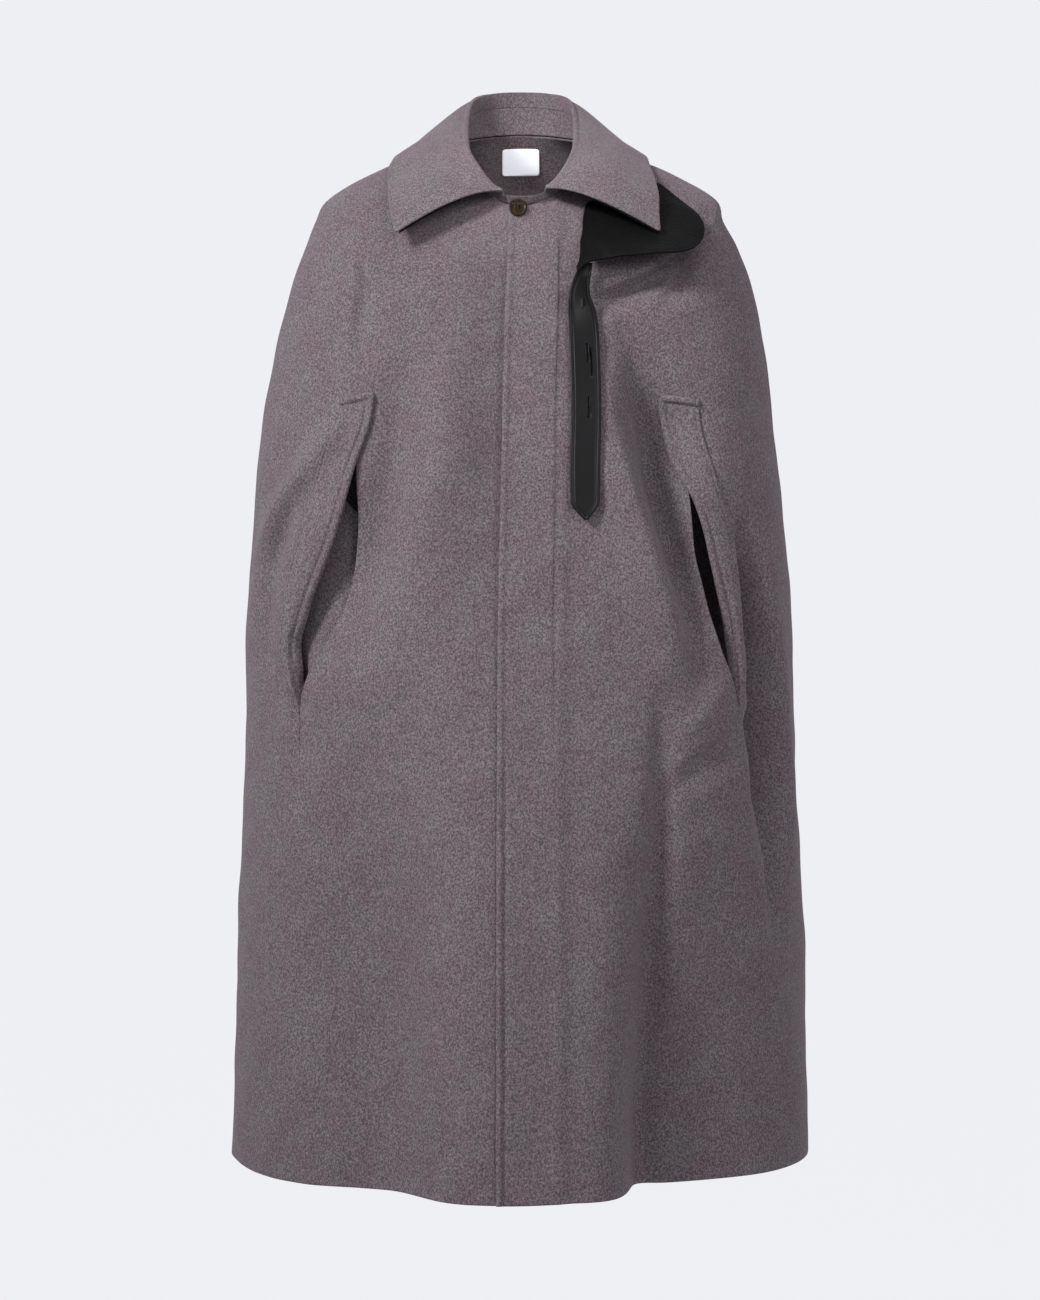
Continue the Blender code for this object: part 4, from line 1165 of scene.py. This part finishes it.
# %% The collar's lines
Roll = namedtuple("Roll", "turn across depth height")
ROLL = (
    Roll(0, 0, -81, -69),
    Roll(15, 20, -79, -66),
    Roll(38, 42, -60, -38),
    Roll(60, 52, -31, -12),
    Roll(90, 53, 12, 22),
    Roll(120, 47, 52, 53),
    Roll(150, 26, 78, 65),
    Roll(180, 0, 86, 68),
    Roll(210, -26, 78, 65),
)
SIDE_TURN = 90.0
LeafEdge = namedtuple("LeafEdge", "turn across depth height belly")
LEAF_EDGE = (
    LeafEdge(17, 138, -109, -113, 17),
    LeafEdge(36, 138, -83, -80, 15),
    LeafEdge(62, 135, -43, -43, 10),
    LeafEdge(92, 126, 8, -14, 9),
    LeafEdge(122, 110, 64, -8, 15),
    LeafEdge(152, 60, 100, -12, 16),
    LeafEdge(180, 0, 110, -12, 14),
    LeafEdge(208, -60, 100, -12, 16),
    LeafEdge(238, -111, 64, -8, 15),
    LeafEdge(268, -127, 10, -13, 11),
    LeafEdge(298, -136, -36, -42, 12),
    LeafEdge(324, -132, -80, -80, 15),
    LeafEdge(347, -125, -110, -113, 17),
)


def roll_point(turn):
    """A point of the roll line, where the collar turns over."""
    folded = half_turn(np.asarray(turn, float))
    across = np.sign(folded) * read(ROLL, "across", np.abs(folded))
    return np.stack([across, read(ROLL, "depth", np.abs(folded)),
                     read(ROLL, "height", np.abs(folded))], -1)


def leaf_edge_point(turns):
    """A point of the leaf's free edge."""
    return np.stack([read(LEAF_EDGE, name, turns) for name in ("across", "depth", "height")], -1)


def ring_out(turn):
    """The level direction away from the middle of the neck."""
    angle = np.radians(turn)
    return np.stack([np.sin(angle), -np.cos(angle), np.zeros_like(angle)], -1)


def neck_lift(turns, seam):
    """At the throat, the left end of the collar lies as much higher as the top front does."""
    return np.where(turns < SIDE_TURN, lap_lift(seam[:, 0]), 0.0)[:, None]


print("top of the roll at the nape in mm:", roll_point(180.0)[2])

# %% [markdown]
# One column of the leaf is a curve of twenty points. It starts on the stand, a third of the way
# down from the roll, turns over the roll in four short steps, and then falls along a curve that is
# pulled up near its start, because thick cloth bellies before it drops.

# %% The profile of the leaf
UP = np.array([0.0, 0.0, 1.0])
STAND_SHARE = 0.65
LEAF_NECK_SHARE = 0.80
LEAF_BELLY_PLACE = 0.32
LEAF_GAP = 0.1
FALL_ROWS = 15
TurnOver = namedtuple("TurnOver", "out up")
TURN_OVER = (TurnOver(1.0, 1.0), TurnOver(3.2, 1.5), TurnOver(5.4, 0.9), TurnOver(6.5, -1.0))


def leaf_profile(turns):
    """The upper face of the leaf: up inside the neck, over the roll and down to its edge."""
    roll, out = roll_point(turns), ring_out(turns)
    seam, level_out = ring_frame(turns, np.zeros(turns.shape))
    lift = neck_lift(turns, seam)
    base = lerp(seam - out * WOOL, roll, STAND_SHARE) + UP * LEAF_GAP
    over = [roll + out * step.out + UP * step.up for step in TURN_OVER]
    fold_start = over.pop()
    edge = leaf_edge_point(turns)
    control = lerp(fold_start, edge, LEAF_BELLY_PLACE)
    control = control + UP * read(LEAF_EDGE, "belly", turns)[:, None]
    rows = [row + level_out * lift for row in [base, lerp(base, roll, LEAF_NECK_SHARE)] + over]
    for share in np.linspace(0.0, 1.0, FALL_ROWS):
        fall = (1 - share) ** 2 * fold_start + 2 * share * (1 - share) * control + share ** 2 * edge
        rows.append(fall + level_out * lift * (1 - share))
    return np.stack(rows)


print("points in a column:", len(leaf_profile(np.array([180.0]))))

# %% [markdown]
# The curve of each column is then drawn softly through its points and cut into equal lengths. Round
# the neck the columns are spaced along a line half-way down the leaf, where it shows most.

# %% The grid of the leaf
Knot = namedtuple("Knot", "place across depth height")
FINE_LINE = 1201
LEAF_ENDS = (17.0, 347.0)
LEAF_LINE_SHARE = 0.6
LEAF_SPACING = 2.6
LEAF_ROWS = 46


def smooth_columns(profile, count, start_steps, end_steps):
    """Draw a soft curve through every column of a coarse grid, with stops spaced by distance."""
    along = path_length(profile.swapaxes(0, 1))
    places = stops(along[:, -1], count, start_steps, end_steps)
    columns = []
    for column, (knots, at) in enumerate(zip(along, places)):
        table = [Knot(knot, *point) for knot, point in zip(knots, profile[:, column])]
        columns.append(np.stack([read(table, name, at) for name in Knot._fields[1:]], -1))
    return np.stack(columns, axis=1)


def even_turns(points_at, start, end, spacing, start_steps, end_steps):
    """Turns from start to end, even by distance along the line that points_at gives."""
    fine = np.linspace(start, end, FINE_LINE)
    along = path_length(points_at(fine))
    places = stops(along[-1], int(along[-1] / spacing), start_steps, end_steps)[0]
    return np.interp(places, along, fine)


def leaf_line(turns):
    """A line about half-way down the leaf, by which its columns are spaced."""
    return lerp(roll_point(turns), leaf_edge_point(turns), LEAF_LINE_SHARE)


leaf_turns = even_turns(leaf_line, *LEAF_ENDS, LEAF_SPACING, RAW_EDGE, RAW_EDGE)
leaf = smooth_columns(leaf_profile(leaf_turns), LEAF_ROWS, RAW_EDGE, RAW_EDGE)
print("leaf grid:", leaf.shape[:2])

# %% [markdown]
# The points of the leaf are rounded a little, as turned wool corners are. Its free edge waves by a
# millimetre or so, which fades up the leaf, so that the edge is never a ruled line.

# %% The collar leaf
LEAF_CORNER = 5.0
LEAF_RADIUS = 1.6
LEAF_NECK_RADIUS = 0.5
LEAF_WAVE = 0.9
LEAF_WAVE_REACH = 34.0
Ripple = namedtuple("Ripple", "share count shift")
LEAF_RIPPLES = (Ripple(1.0, 9, 0.7), Ripple(0.6, 17, 2.1))

neck_away, free_away, left_away, right_away = end_distances(leaf)
down_in = -unit(np.gradient(leaf, axis=0))
side_in = unit(np.gradient(leaf, axis=1))
leaf = round_corner(leaf, free_away, left_away, LEAF_CORNER, down_in, side_in)
leaf = round_corner(leaf, free_away, right_away, LEAF_CORNER, down_in, -side_in)
leaf_out = grid_normals(leaf)
ripple = sum(wave.share * np.sin(np.radians(leaf_turns) * wave.count + wave.shift)
             for wave in LEAF_RIPPLES)
wave_height = LEAF_WAVE * ripple * np.exp(-(free_away / LEAF_WAVE_REACH) ** 2)
leaf = leaf + leaf_out * wave_height[..., None]
leaf_out = grid_normals(leaf)
leaf_half = 0.5 * WOOL * rim(neck_away, LEAF_NECK_RADIUS) * rim(free_away, LEAF_RADIUS)
leaf_half = leaf_half * rim(left_away, LEAF_RADIUS) * rim(right_away, LEAF_RADIUS)
collar_leaf = add_faced_cloth("collar_leaf", leaf, leaf_out, WOOL, leaf_half)
settle(collar_leaf, "collar_leaf", felted_wool)

# %% [markdown]
# The under-collar is the same grid, moved down by the wool's thickness and a small gap, from a
# little past the roll to a few millimetres short of the free edge. Cut a little smaller like that,
# it pulls the leaf's edge down and stays out of sight from above.

# %% The under-collar
LEATHER = 1.4
UNDER_COLLAR_GAP = 0.7
UNDER_COLLAR_START = 40.0
UNDER_COLLAR_SETBACK = 4.0
UNDER_COLLAR_RADIUS = 0.7

rows_covered = [row for row in range(leaf.shape[0])
                if neck_away[row].min() > UNDER_COLLAR_START
                and free_away[row].max() > UNDER_COLLAR_SETBACK]
under = (leaf - leaf_out * (WOOL + UNDER_COLLAR_GAP))[rows_covered]
under_collar = add_faced_cloth("under_collar", under, leaf_out[rows_covered], LEATHER,
                               rounded_half(under, LEATHER, UNDER_COLLAR_RADIUS))
settle(under_collar, "under_collar", grained_leather)

# %% [markdown]
# The stand closes with the fronts: its left end laps over its right end at the throat. Its lower
# edge meets the neck seam and its upper edge the leaf, so both are rounded to show as seams.

# %% The collar stand
STAND_ROWS = 8
STAND_EDGE = (0.0, 0.02, 0.05, 0.1)


def stand_line(turns):
    """The neck seam, by which the stand's columns are spaced."""
    return ring_frame(turns, np.zeros(turns.shape))[0]


def stand_profile(turns):
    """The outer face of the stand, from the roll down to the neck seam, and its directions out."""
    seam, level_out = ring_frame(turns, np.zeros(turns.shape))
    out = ring_out(turns)
    lift = neck_lift(turns, seam)
    bottom = seam + level_out * lift + UP * SEAM_GAP
    top = lerp(seam, roll_point(turns) + out * WOOL, STAND_SHARE) + level_out * lift
    shares = stops(1.0, STAND_ROWS, STAND_EDGE, STAND_EDGE)[0]
    rows = np.stack([lerp(top, bottom, share) for share in shares])
    return rows, np.broadcast_to(out, rows.shape)


lap_turn = float(turn_at(-EDGES[0].lap, 0.0))
under_turn = float(turn_at(UNDER_EDGE_ACROSS, 0.0)) + 360.0
stand_turns = even_turns(stand_line, lap_turn, under_turn, LEAF_SPACING, RAW_EDGE, RAW_EDGE)
stand, stand_out = stand_profile(stand_turns)
top_away, bottom_away, first_away, last_away = end_distances(stand)
stand_half = 0.5 * WOOL * rim(top_away, SEAM_RADIUS) * rim(bottom_away, SEAM_RADIUS)
stand_half = stand_half * rim(first_away, EDGE_RADIUS) * rim(last_away, EDGE_RADIUS)
collar_stand = add_faced_cloth("collar_stand", stand, stand_out, WOOL, stand_half)
settle(collar_stand, "collar_stand", felted_wool)

# %% [markdown]
# ## The throat tab
# The tab can close the throat of the coat: a broad leaf of grained leather is held under the collar
# and narrows to a strap, which hangs down the chest when it isn't buttoned. The broad part stands
# off the cloth, most at its lower edge. Its outline is a table of the levels of its upper and lower
# edge, with how far each stands off. The pebble grain is a plain one, as on any grained calf.

# %% The outline of the broad part
BandRow = namedtuple("BandRow", "turn top bottom top_lift bottom_lift")
TAB_BAND = (
    BandRow(10.3, 3.30, 3.50, 20.0, 20.0),
    BandRow(12.0, 2.90, 3.28, 19.0, 20.0),
    BandRow(14.0, 2.58, 3.14, 17.0, 20.0),
    BandRow(17.0, 2.22, 3.10, 14.0, 20.0),
    BandRow(22.0, 1.82, 3.20, 10.0, 25.0),
    BandRow(28.0, 1.42, 3.40, 6.0, 29.0),
    BandRow(34.0, 1.15, 3.55, 4.0, 30.0),
    BandRow(40.0, 1.00, 3.75, 3.2, 29.0),
    BandRow(46.0, 1.15, 3.85, 3.2, 27.0),
    BandRow(52.0, 1.35, 3.65, 3.2, 22.0),
    BandRow(56.0, 1.50, 3.30, 3.4, 17.0),
    BandRow(60.0, 1.62, 2.87, 3.6, 11.5),
    BandRow(64.0, 1.72, 2.50, 3.8, 6.5),
    BandRow(68.0, 1.80, 2.15, 4.0, 5.0),
    BandRow(70.0, 1.83, 1.96, 4.0, 4.4),
)
BAND_LIFT_POWER = 1.7
TURN_STEP = 0.25
LEVEL_STEP = 0.02


def surface_frame(turn, level):
    """The cape's face without small creases, and the direction out of it."""
    point = body_point(turn, level, "front")
    left, right = turn + TURN_STEP, turn - TURN_STEP
    across = body_point(left, level, "front") - body_point(right, level, "front")
    upper, lower = np.maximum(level - LEVEL_STEP, 0.0), np.minimum(level + LEVEL_STEP, HEM)
    down = body_point(turn, lower, "front") - body_point(turn, upper, "front")
    return point, unit(np.cross(down, across))


def band_grid(turns, shares):
    """The face of the broad part, for shares of the way from its upper to its lower edge."""
    levels = lerp(read(TAB_BAND, "top", turns), read(TAB_BAND, "bottom", turns), shares)
    lifts = lerp(read(TAB_BAND, "top_lift", turns), read(TAB_BAND, "bottom_lift", turns),
                 shares ** BAND_LIFT_POWER)
    point, out = surface_frame(np.broadcast_to(turns, levels.shape), levels)
    return point + out * lifts[..., None]


def band_line(turns):
    """The middle line of the broad part, by which its columns are spaced."""
    return band_grid(turns, np.array([[0.5]]))[0]


print("the broad part stands off, in mm:", max(row.bottom_lift for row in TAB_BAND))

# %% The broad part of the tab
TAB_LEATHER = 2.4
TAB_RADIUS = 1.1
TAB_THINNEST = 0.15
TAB_EDGE = (0.0, 0.25, 0.6, 1.1, 1.8, 2.4, 3.0, 3.7)
BAND_SPACING = 2.2
BAND_COARSE_ROWS = 13
BAND_ROWS = 26
BAND_STITCH = (2.4, 0.8)
BAND_PINCH = 0.3

band_turns = even_turns(band_line, TAB_BAND[0].turn, TAB_BAND[-1].turn, BAND_SPACING, TAB_EDGE,
                        TAB_EDGE)
band_coarse = band_grid(band_turns, np.linspace(0.0, 1.0, BAND_COARSE_ROWS)[:, None])
band = smooth_columns(band_coarse, BAND_ROWS, TAB_EDGE, TAB_EDGE)
band_half = rounded_half(band, TAB_LEATHER, TAB_RADIUS)
band_half = band_half - BAND_PINCH * pinch(end_distances(band)[1], *BAND_STITCH)
band_half = np.maximum(band_half, TAB_THINNEST)
tab_band = add_faced_cloth("tab_band", band, grid_normals(band), TAB_LEATHER, band_half)
settle(tab_band, "tab_band", grained_leather)

# %% [markdown]
# The strap is a strip of smooth leather, edge-stitched on both sides, with three cut buttonholes.
# Its middle line is a table of turns and stand-offs down the chest, with a twist where it leaves
# the broad part.

# %% The line of the strap
StrapRow = namedtuple("StrapRow", "level turn half_width lift twist")
TAB_STRAP = (
    StrapRow(3.05, 13.4, 6.0, 14.6, 0),
    StrapRow(3.40, 12.3, 7.0, 14.4, 12),
    StrapRow(3.70, 11.7, 9.0, 13.5, 32),
    StrapRow(4.34, 10.7, 12.4, 11.0, 22),
    StrapRow(4.80, 10.8, 14.0, 8.0, 10),
    StrapRow(5.80, 10.9, 14.6, 6.4, 0),
    StrapRow(7.30, 11.3, 14.6, 6.6, 0),
    StrapRow(8.44, 11.3, 14.0, 8.0, 0),
    StrapRow(8.70, 11.4, 2.2, 8.6, 0),
)
Hole = namedtuple("Hole", "top bottom across")
STRAP_HOLES = (Hole(4.30, 4.62, 0.5), Hole(5.58, 6.02, 2.6), Hole(6.76, 7.15, 2.2))
STRAP_SPACING = 1.6
FINE_STRAP = 601


def strap_frame(levels):
    """The strap's middle line, the direction across it, and its half width."""
    turns = read(TAB_STRAP, "turn", levels)
    middle, out = surface_frame(turns, levels)
    middle = middle + out * read(TAB_STRAP, "lift", levels)[:, None]
    along = unit(np.gradient(middle, axis=0))
    across = unit(np.cross(out, along))
    across = np.where(across[:, :1] < 0, -across, across)
    twist = np.radians(read(TAB_STRAP, "twist", levels))[:, None]
    turned = across * np.cos(twist) - out * np.sin(twist)
    return middle, turned, read(TAB_STRAP, "half_width", levels)


strap_fine = np.linspace(TAB_STRAP[0].level, TAB_STRAP[-1].level, FINE_STRAP)
strap_along = path_length(strap_frame(strap_fine)[0])
strap_rows = int(strap_along[-1] / STRAP_SPACING)
strap_places = stops(strap_along[-1], strap_rows, TAB_EDGE, TAB_EDGE)[0]
strap_levels = np.interp(strap_places, strap_along, strap_fine)
for hole in STRAP_HOLES:
    for level in (hole.top, hole.bottom):
        strap_levels[np.argmin(np.abs(strap_levels - level))] = level
strap_middle, strap_side, strap_half_width = strap_frame(strap_levels)
print("length of the strap in mm:", round(float(strap_along[-1])))

# %% [markdown]
# Across the strap, the grid has close columns at both edges and at the line of the buttonholes. It
# narrows as the strap does, so the columns run on into its ends.

# %% The grid of the strap
SIDE_STEPS = np.array([0.0, 0.25, 0.6, 1.1, 1.8, 2.6, 3.1, 3.6, 4.1, 4.6, 5.4, 7.0, 9.0])
HOLE_HALF = 0.95
HOLE_STEPS = np.array([-3.2, -2.2, -1.5, -HOLE_HALF, HOLE_HALF, 1.5, 2.2, 3.2])
STRAP_STITCH = (3.6, 0.7)
STRAP_PINCH = 0.5

strap_widest = max(row.half_width for row in TAB_STRAP)
hole_across = np.interp(strap_levels, [0.5 * (hole.top + hole.bottom) for hole in STRAP_HOLES],
                        [hole.across for hole in STRAP_HOLES])
strap_offsets = []
for width, hole_at in zip(strap_half_width, hole_across):
    squeeze = min(1.0, width / strap_widest)
    left = -width + SIDE_STEPS * squeeze
    right = width - SIDE_STEPS[::-1] * squeeze
    near_hole = hole_at * squeeze + HOLE_STEPS * squeeze
    strap_offsets.append(np.concatenate([left, near_hole, right]))
strap = strap_middle[:, None] + strap_side[:, None] * np.array(strap_offsets)[..., None]
strap_out = grid_normals(strap)
strap_half = rounded_half(strap, TAB_LEATHER, TAB_RADIUS)
nearest_side = np.minimum(*end_distances(strap)[2:])
strap_half = np.maximum(strap_half - STRAP_PINCH * pinch(nearest_side, *STRAP_STITCH), TAB_THINNEST)
print("strap grid:", strap.shape[:2])

# %% [markdown]
# A buttonhole is a row of cells left open in the grid. Its lip towards the wearer's left is pushed
# up, most in the middle of the cut, as a cut in thick leather never lies quite flat.

# %% The buttonholes and the strap
LIP_RAISE = 1.5
LIP_SHARES = ((1, 1.0), (2, 0.8), (3, 0.4), (0, 0.25))  # columns from the hole, share of the lift

hole_column = len(SIDE_STEPS) + list(HOLE_STEPS).index(-HOLE_HALF)
open_cells = []
for hole in STRAP_HOLES:
    inside = [row for row, level in enumerate(strap_levels[:-1])
              if hole.top <= level < hole.bottom]
    open_cells += [(row, hole_column) for row in inside]
    share = (strap_levels[inside] - hole.top) / (hole.bottom - hole.top)
    bulge = LIP_RAISE * np.sin(np.pi * np.clip(share, 0, 1))
    for step, amount in LIP_SHARES:
        column = hole_column + step
        strap[inside, column] += strap_out[inside, column] * (bulge * amount)[:, None]
tab_strap = add_faced_cloth("tab_strap", strap, strap_out, TAB_LEATHER, strap_half, open_cells)
settle(tab_strap, "tab_strap", smooth_leather)

# %% [markdown]
# ## The neck button
# The button is turned from horn: a flat back, a raised rim, a shallow dish and four holes. Horn
# grows in layers, so it is streaked in two browns, and polishing makes it shine. A cylinder is a
# good start, because turning makes round steps. In edit mode the top is inset and lowered for the
# dish, the rim's edges are bevelled, and a Boolean drills the holes.

# %% The horn of the button
polished_horn, shader, place = new_material("polished_horn")
growth = add_node(polished_horn, "ShaderNodeMapping", {"Vector": place, "Scale": (1.0, 1.0, 0.35)})
streak = add_node(polished_horn, "ShaderNodeTexNoise",
                  {"Vector": growth.outputs[0], "Scale": per_metre(5.0), "Detail": 4.0,
                   "Distortion": 1.2})
horn_tone = add_node(polished_horn, "ShaderNodeValToRGB", {"Fac": streak.outputs["Fac"]})
horn_stops = horn_tone.color_ramp.elements
horn_stops[0].position, horn_stops[0].color = 0.38, colour("#090504")
horn_stops[1].position, horn_stops[1].color = 0.72, colour("#2c1e12")
finish_shader(polished_horn, shader, {"Roughness": 0.28, "Specular IOR Level": 0.08},
              horn_tone.outputs["Color"])
print("made", polished_horn.name)

# %% The turned shape of the button
BUTTON_RADIUS = 9.0 * MM
BUTTON_HEIGHT = 3.4 * MM
BUTTON_SIDES = 64
DISH_RADIUS = 6.4 * MM
DISH_SLOPE = 0.9 * MM
DISH_DEPTH = 0.8 * MM
RIM_FROM = 0.9 * DISH_RADIUS
RIM_BEVEL = 0.55 * MM
ALIKE = 1e-6
UPWARDS = 0.9


def clear_selection():
    bpy.ops.object.select_all(action="DESELECT")


def select_only(piece):
    clear_selection()
    piece.select_set(True)
    bpy.context.view_layer.objects.active = piece


def apply_place(piece):
    """Put the object's place and turn into its mesh, so that the object sits at the origin."""
    select_only(piece)
    bpy.ops.object.transform_apply(location=True, rotation=True, scale=True)


clear_selection()
bpy.ops.mesh.primitive_cylinder_add(vertices=BUTTON_SIDES, radius=BUTTON_RADIUS,
                                    depth=BUTTON_HEIGHT, location=(0, 0, BUTTON_HEIGHT / 2))
neck_button = bpy.context.object
neck_button.name = neck_button.data.name = "neck_button_made"
apply_place(neck_button)
bpy.ops.object.mode_set(mode="EDIT")
bpy.ops.mesh.select_all(action="DESELECT")
shape = bmesh.from_edit_mesh(neck_button.data)
for face in shape.faces:
    face.select = face.normal.z > UPWARDS
bmesh.update_edit_mesh(neck_button.data)
bpy.ops.mesh.inset(thickness=BUTTON_RADIUS - DISH_RADIUS - DISH_SLOPE)
bpy.ops.mesh.inset(thickness=DISH_SLOPE, depth=-DISH_DEPTH)
shape = bmesh.from_edit_mesh(neck_button.data)
for edge in shape.edges:
    radii = [vertex.co.xy.length for vertex in edge.verts]
    level_edge = abs(edge.verts[0].co.z - edge.verts[1].co.z) < ALIKE
    round_edge = abs(radii[0] - radii[1]) < ALIKE
    edge.select = level_edge and round_edge and min(radii) > RIM_FROM
bmesh.update_edit_mesh(neck_button.data)
bpy.ops.mesh.bevel(offset=RIM_BEVEL, segments=3, affect="EDGES")
bpy.ops.object.mode_set(mode="OBJECT")
print("button faces before drilling:", len(neck_button.data.polygons))

# %% [markdown]
# The drilled button is then set in its place at the throat, tilted back as the cloth is there, and
# that place is put into its mesh. Smooth shading by angle keeps its edges crisp.

# %% The neck button
HOLE_RADIUS = 0.85 * MM
HOLE_SPREAD = 1.75 * MM
HOLE_TURNS = (45, 135, 225, 315)
HOLE_SIDES = 20
DRILL_DEPTH = 12 * MM
BUTTON_PLACE = np.array((-3.0, -83.6, -85.5)) * MM
BUTTON_TILT = 14.0
SMOOTH_BELOW = math.radians(35)

for turn in map(math.radians, HOLE_TURNS):
    clear_selection()
    place = (HOLE_SPREAD * math.cos(turn), HOLE_SPREAD * math.sin(turn), 0)
    bpy.ops.mesh.primitive_cylinder_add(vertices=HOLE_SIDES, radius=HOLE_RADIUS, depth=DRILL_DEPTH,
                                        location=place)
    drill = bpy.context.object
    cut = neck_button.modifiers.new("thread_hole", "BOOLEAN")
    cut.operation, cut.object, cut.solver = "DIFFERENCE", drill, "EXACT"
    select_only(neck_button)
    bpy.ops.object.modifier_apply(modifier=cut.name)
    bpy.data.objects.remove(drill)
neck_button.location = BUTTON_PLACE
neck_button.rotation_euler = (math.radians(90 - BUTTON_TILT), 0, 0)
apply_place(neck_button)
bpy.ops.object.shade_smooth_by_angle(angle=SMOOTH_BELOW)
settle(neck_button, "neck_button", polished_horn)
print("button faces:", len(neck_button.data.polygons))

# %% [markdown]
# ## The neck label
# A plain woven satin label is sewn inside the back, just below the neck seam. It bears nothing. It
# is a small sheet on the inner face of the cloth, with rounded corners. Its threads are too fine to
# show, so a noise 1.2 mm wide stands for the slight unevenness of the weave.

# %% The satin of the label
label_satin, shader, place = new_material("label_satin")
weave = add_node(label_satin, "ShaderNodeTexNoise",
                 {"Vector": place, "Scale": per_metre(1.2), "Detail": 2.0})
satin_tone = add_node(label_satin, "ShaderNodeMix",
                      {0: weave.outputs["Fac"], 6: colour("#dcdce3"), 7: colour("#e9e9f0")},
                      data_type="RGBA")
weave_bump = add_node(label_satin, "ShaderNodeBump",
                      {"Height": weave.outputs["Fac"], "Strength": 0.3, "Distance": 0.0003})
finish_shader(label_satin, shader, {"Roughness": 0.55, "Sheen Weight": 0.2},
              satin_tone.outputs[2], weave_bump.outputs[0])
print("made", label_satin.name)

# %% The neck label
LABEL_WIDTH = 40.0
LABEL_TOP = 0.62
LABEL_BOTTOM = 1.75
LABEL_THICKNESS = 0.6
LABEL_GAP = 0.7
LABEL_CORNER = 3.0
LABEL_GRID = (24, 28)

label_levels = np.linspace(LABEL_TOP, LABEL_BOTTOM, LABEL_GRID[0])
label_across = np.linspace(LABEL_WIDTH / 2, -LABEL_WIDTH / 2, LABEL_GRID[1])
label_turns = np.stack([180.0 - turn_at(label_across, np.full(label_across.shape, level))
                        for level in label_levels])
label_base = cloth_point(label_turns, label_levels[:, None], "side")
label_out = grid_normals(label_base)
label = label_base - label_out * (WOOL + LABEL_GAP)
away = end_distances(label)
steps = unit(np.gradient(label, axis=0)), unit(np.gradient(label, axis=1))
for row_away, row_step in ((away[0], steps[0]), (away[1], -steps[0])):
    for column_away, column_step in ((away[2], steps[1]), (away[3], -steps[1])):
        label = round_corner(label, row_away, column_away, LABEL_CORNER, row_step, column_step)
label_half = np.full(label.shape[:2], 0.5 * LABEL_THICKNESS)
neck_label = add_faced_cloth("neck_label", label, label_out, LABEL_THICKNESS, label_half)
settle(neck_label, "neck_label", label_satin)

# %% [markdown]

# %% [markdown]
# ## Floor, light and air
# A plain pale floor lies well below the hem, as the coat hangs from the shoulders. The air is an
# even pale light, close in value to the floor, so no horizon shows. The key lamp is large and soft. It
# stands high on the wearer's right and rakes across the cloth, so each fold gets a light side and a
# dark side, and the collar and the tab throw a shadow. A broad weak lamp in front, a little to the
# wearer's left, fills those shadows. A third, small and narrow, lights the inside of the neck.

# %% Floor, light and air
AIR = colour("#eeeff3")
FLOOR_HEIGHT = -4.0
FLOOR_SIZE = 400.0

world = bpy.data.worlds.new("pale_air")
world.use_nodes = True
world.node_tree.nodes["Background"].inputs["Color"].default_value = AIR
world.node_tree.nodes["Background"].inputs["Strength"].default_value = 1.0
bpy.context.scene.world = world

clear_selection()
bpy.ops.mesh.primitive_plane_add(size=FLOOR_SIZE, location=(0, 0, FLOOR_HEIGHT))
floor = bpy.context.object
floor.name = "floor"
floor_paint, shader, _ = new_material("matt_floor_paint")
finish_shader(floor_paint, shader, {"Base Color": colour("#ffffff"), "Roughness": 1.0,
                                    "Specular IOR Level": 0.0})
floor.data.materials.append(floor_paint)
print("floor in m:", FLOOR_HEIGHT)

# %% The lamps


def add_lamp(name, place, aim, size, power, spread):
    """A round lamp turned to its aim: sizes in metres, power in watts, spread in degrees."""
    lamp_data = bpy.data.lights.new(name, "AREA")
    lamp_data.shape, lamp_data.size, lamp_data.energy = "DISK", size, power
    lamp_data.spread = math.radians(spread)
    lamp = bpy.data.objects.new(name, lamp_data)
    lamp.location = place
    reach = np.array(aim) - np.array(place)
    lamp.rotation_euler = (math.acos(-reach[2] / np.linalg.norm(reach)), 0,
                           math.atan2(reach[1], reach[0]) - math.pi / 2)
    bpy.context.scene.collection.objects.link(lamp)
    return lamp


key_lamp = add_lamp("key_lamp", place=(-2.35, -1.95, 1.75), aim=(0.42, -0.1, -0.56), size=0.9,
                    power=23.4, spread=48)
fill_lamp = add_lamp("fill_lamp", place=(1.3, -2.15, 0.55), aim=(0.36, 0.0, -0.55), size=1.0,
                     power=11.5, spread=95)
neck_lamp = add_lamp("neck_lamp", place=(0.1, -1.9, 0.6), aim=(0.0, 0.06, -0.06), size=0.15,
                     power=0.09, spread=8)
bpy.context.scene.view_settings.view_transform = "Standard"
print("lamps:", [lamp.name for lamp in (key_lamp, fill_lamp, neck_lamp)])
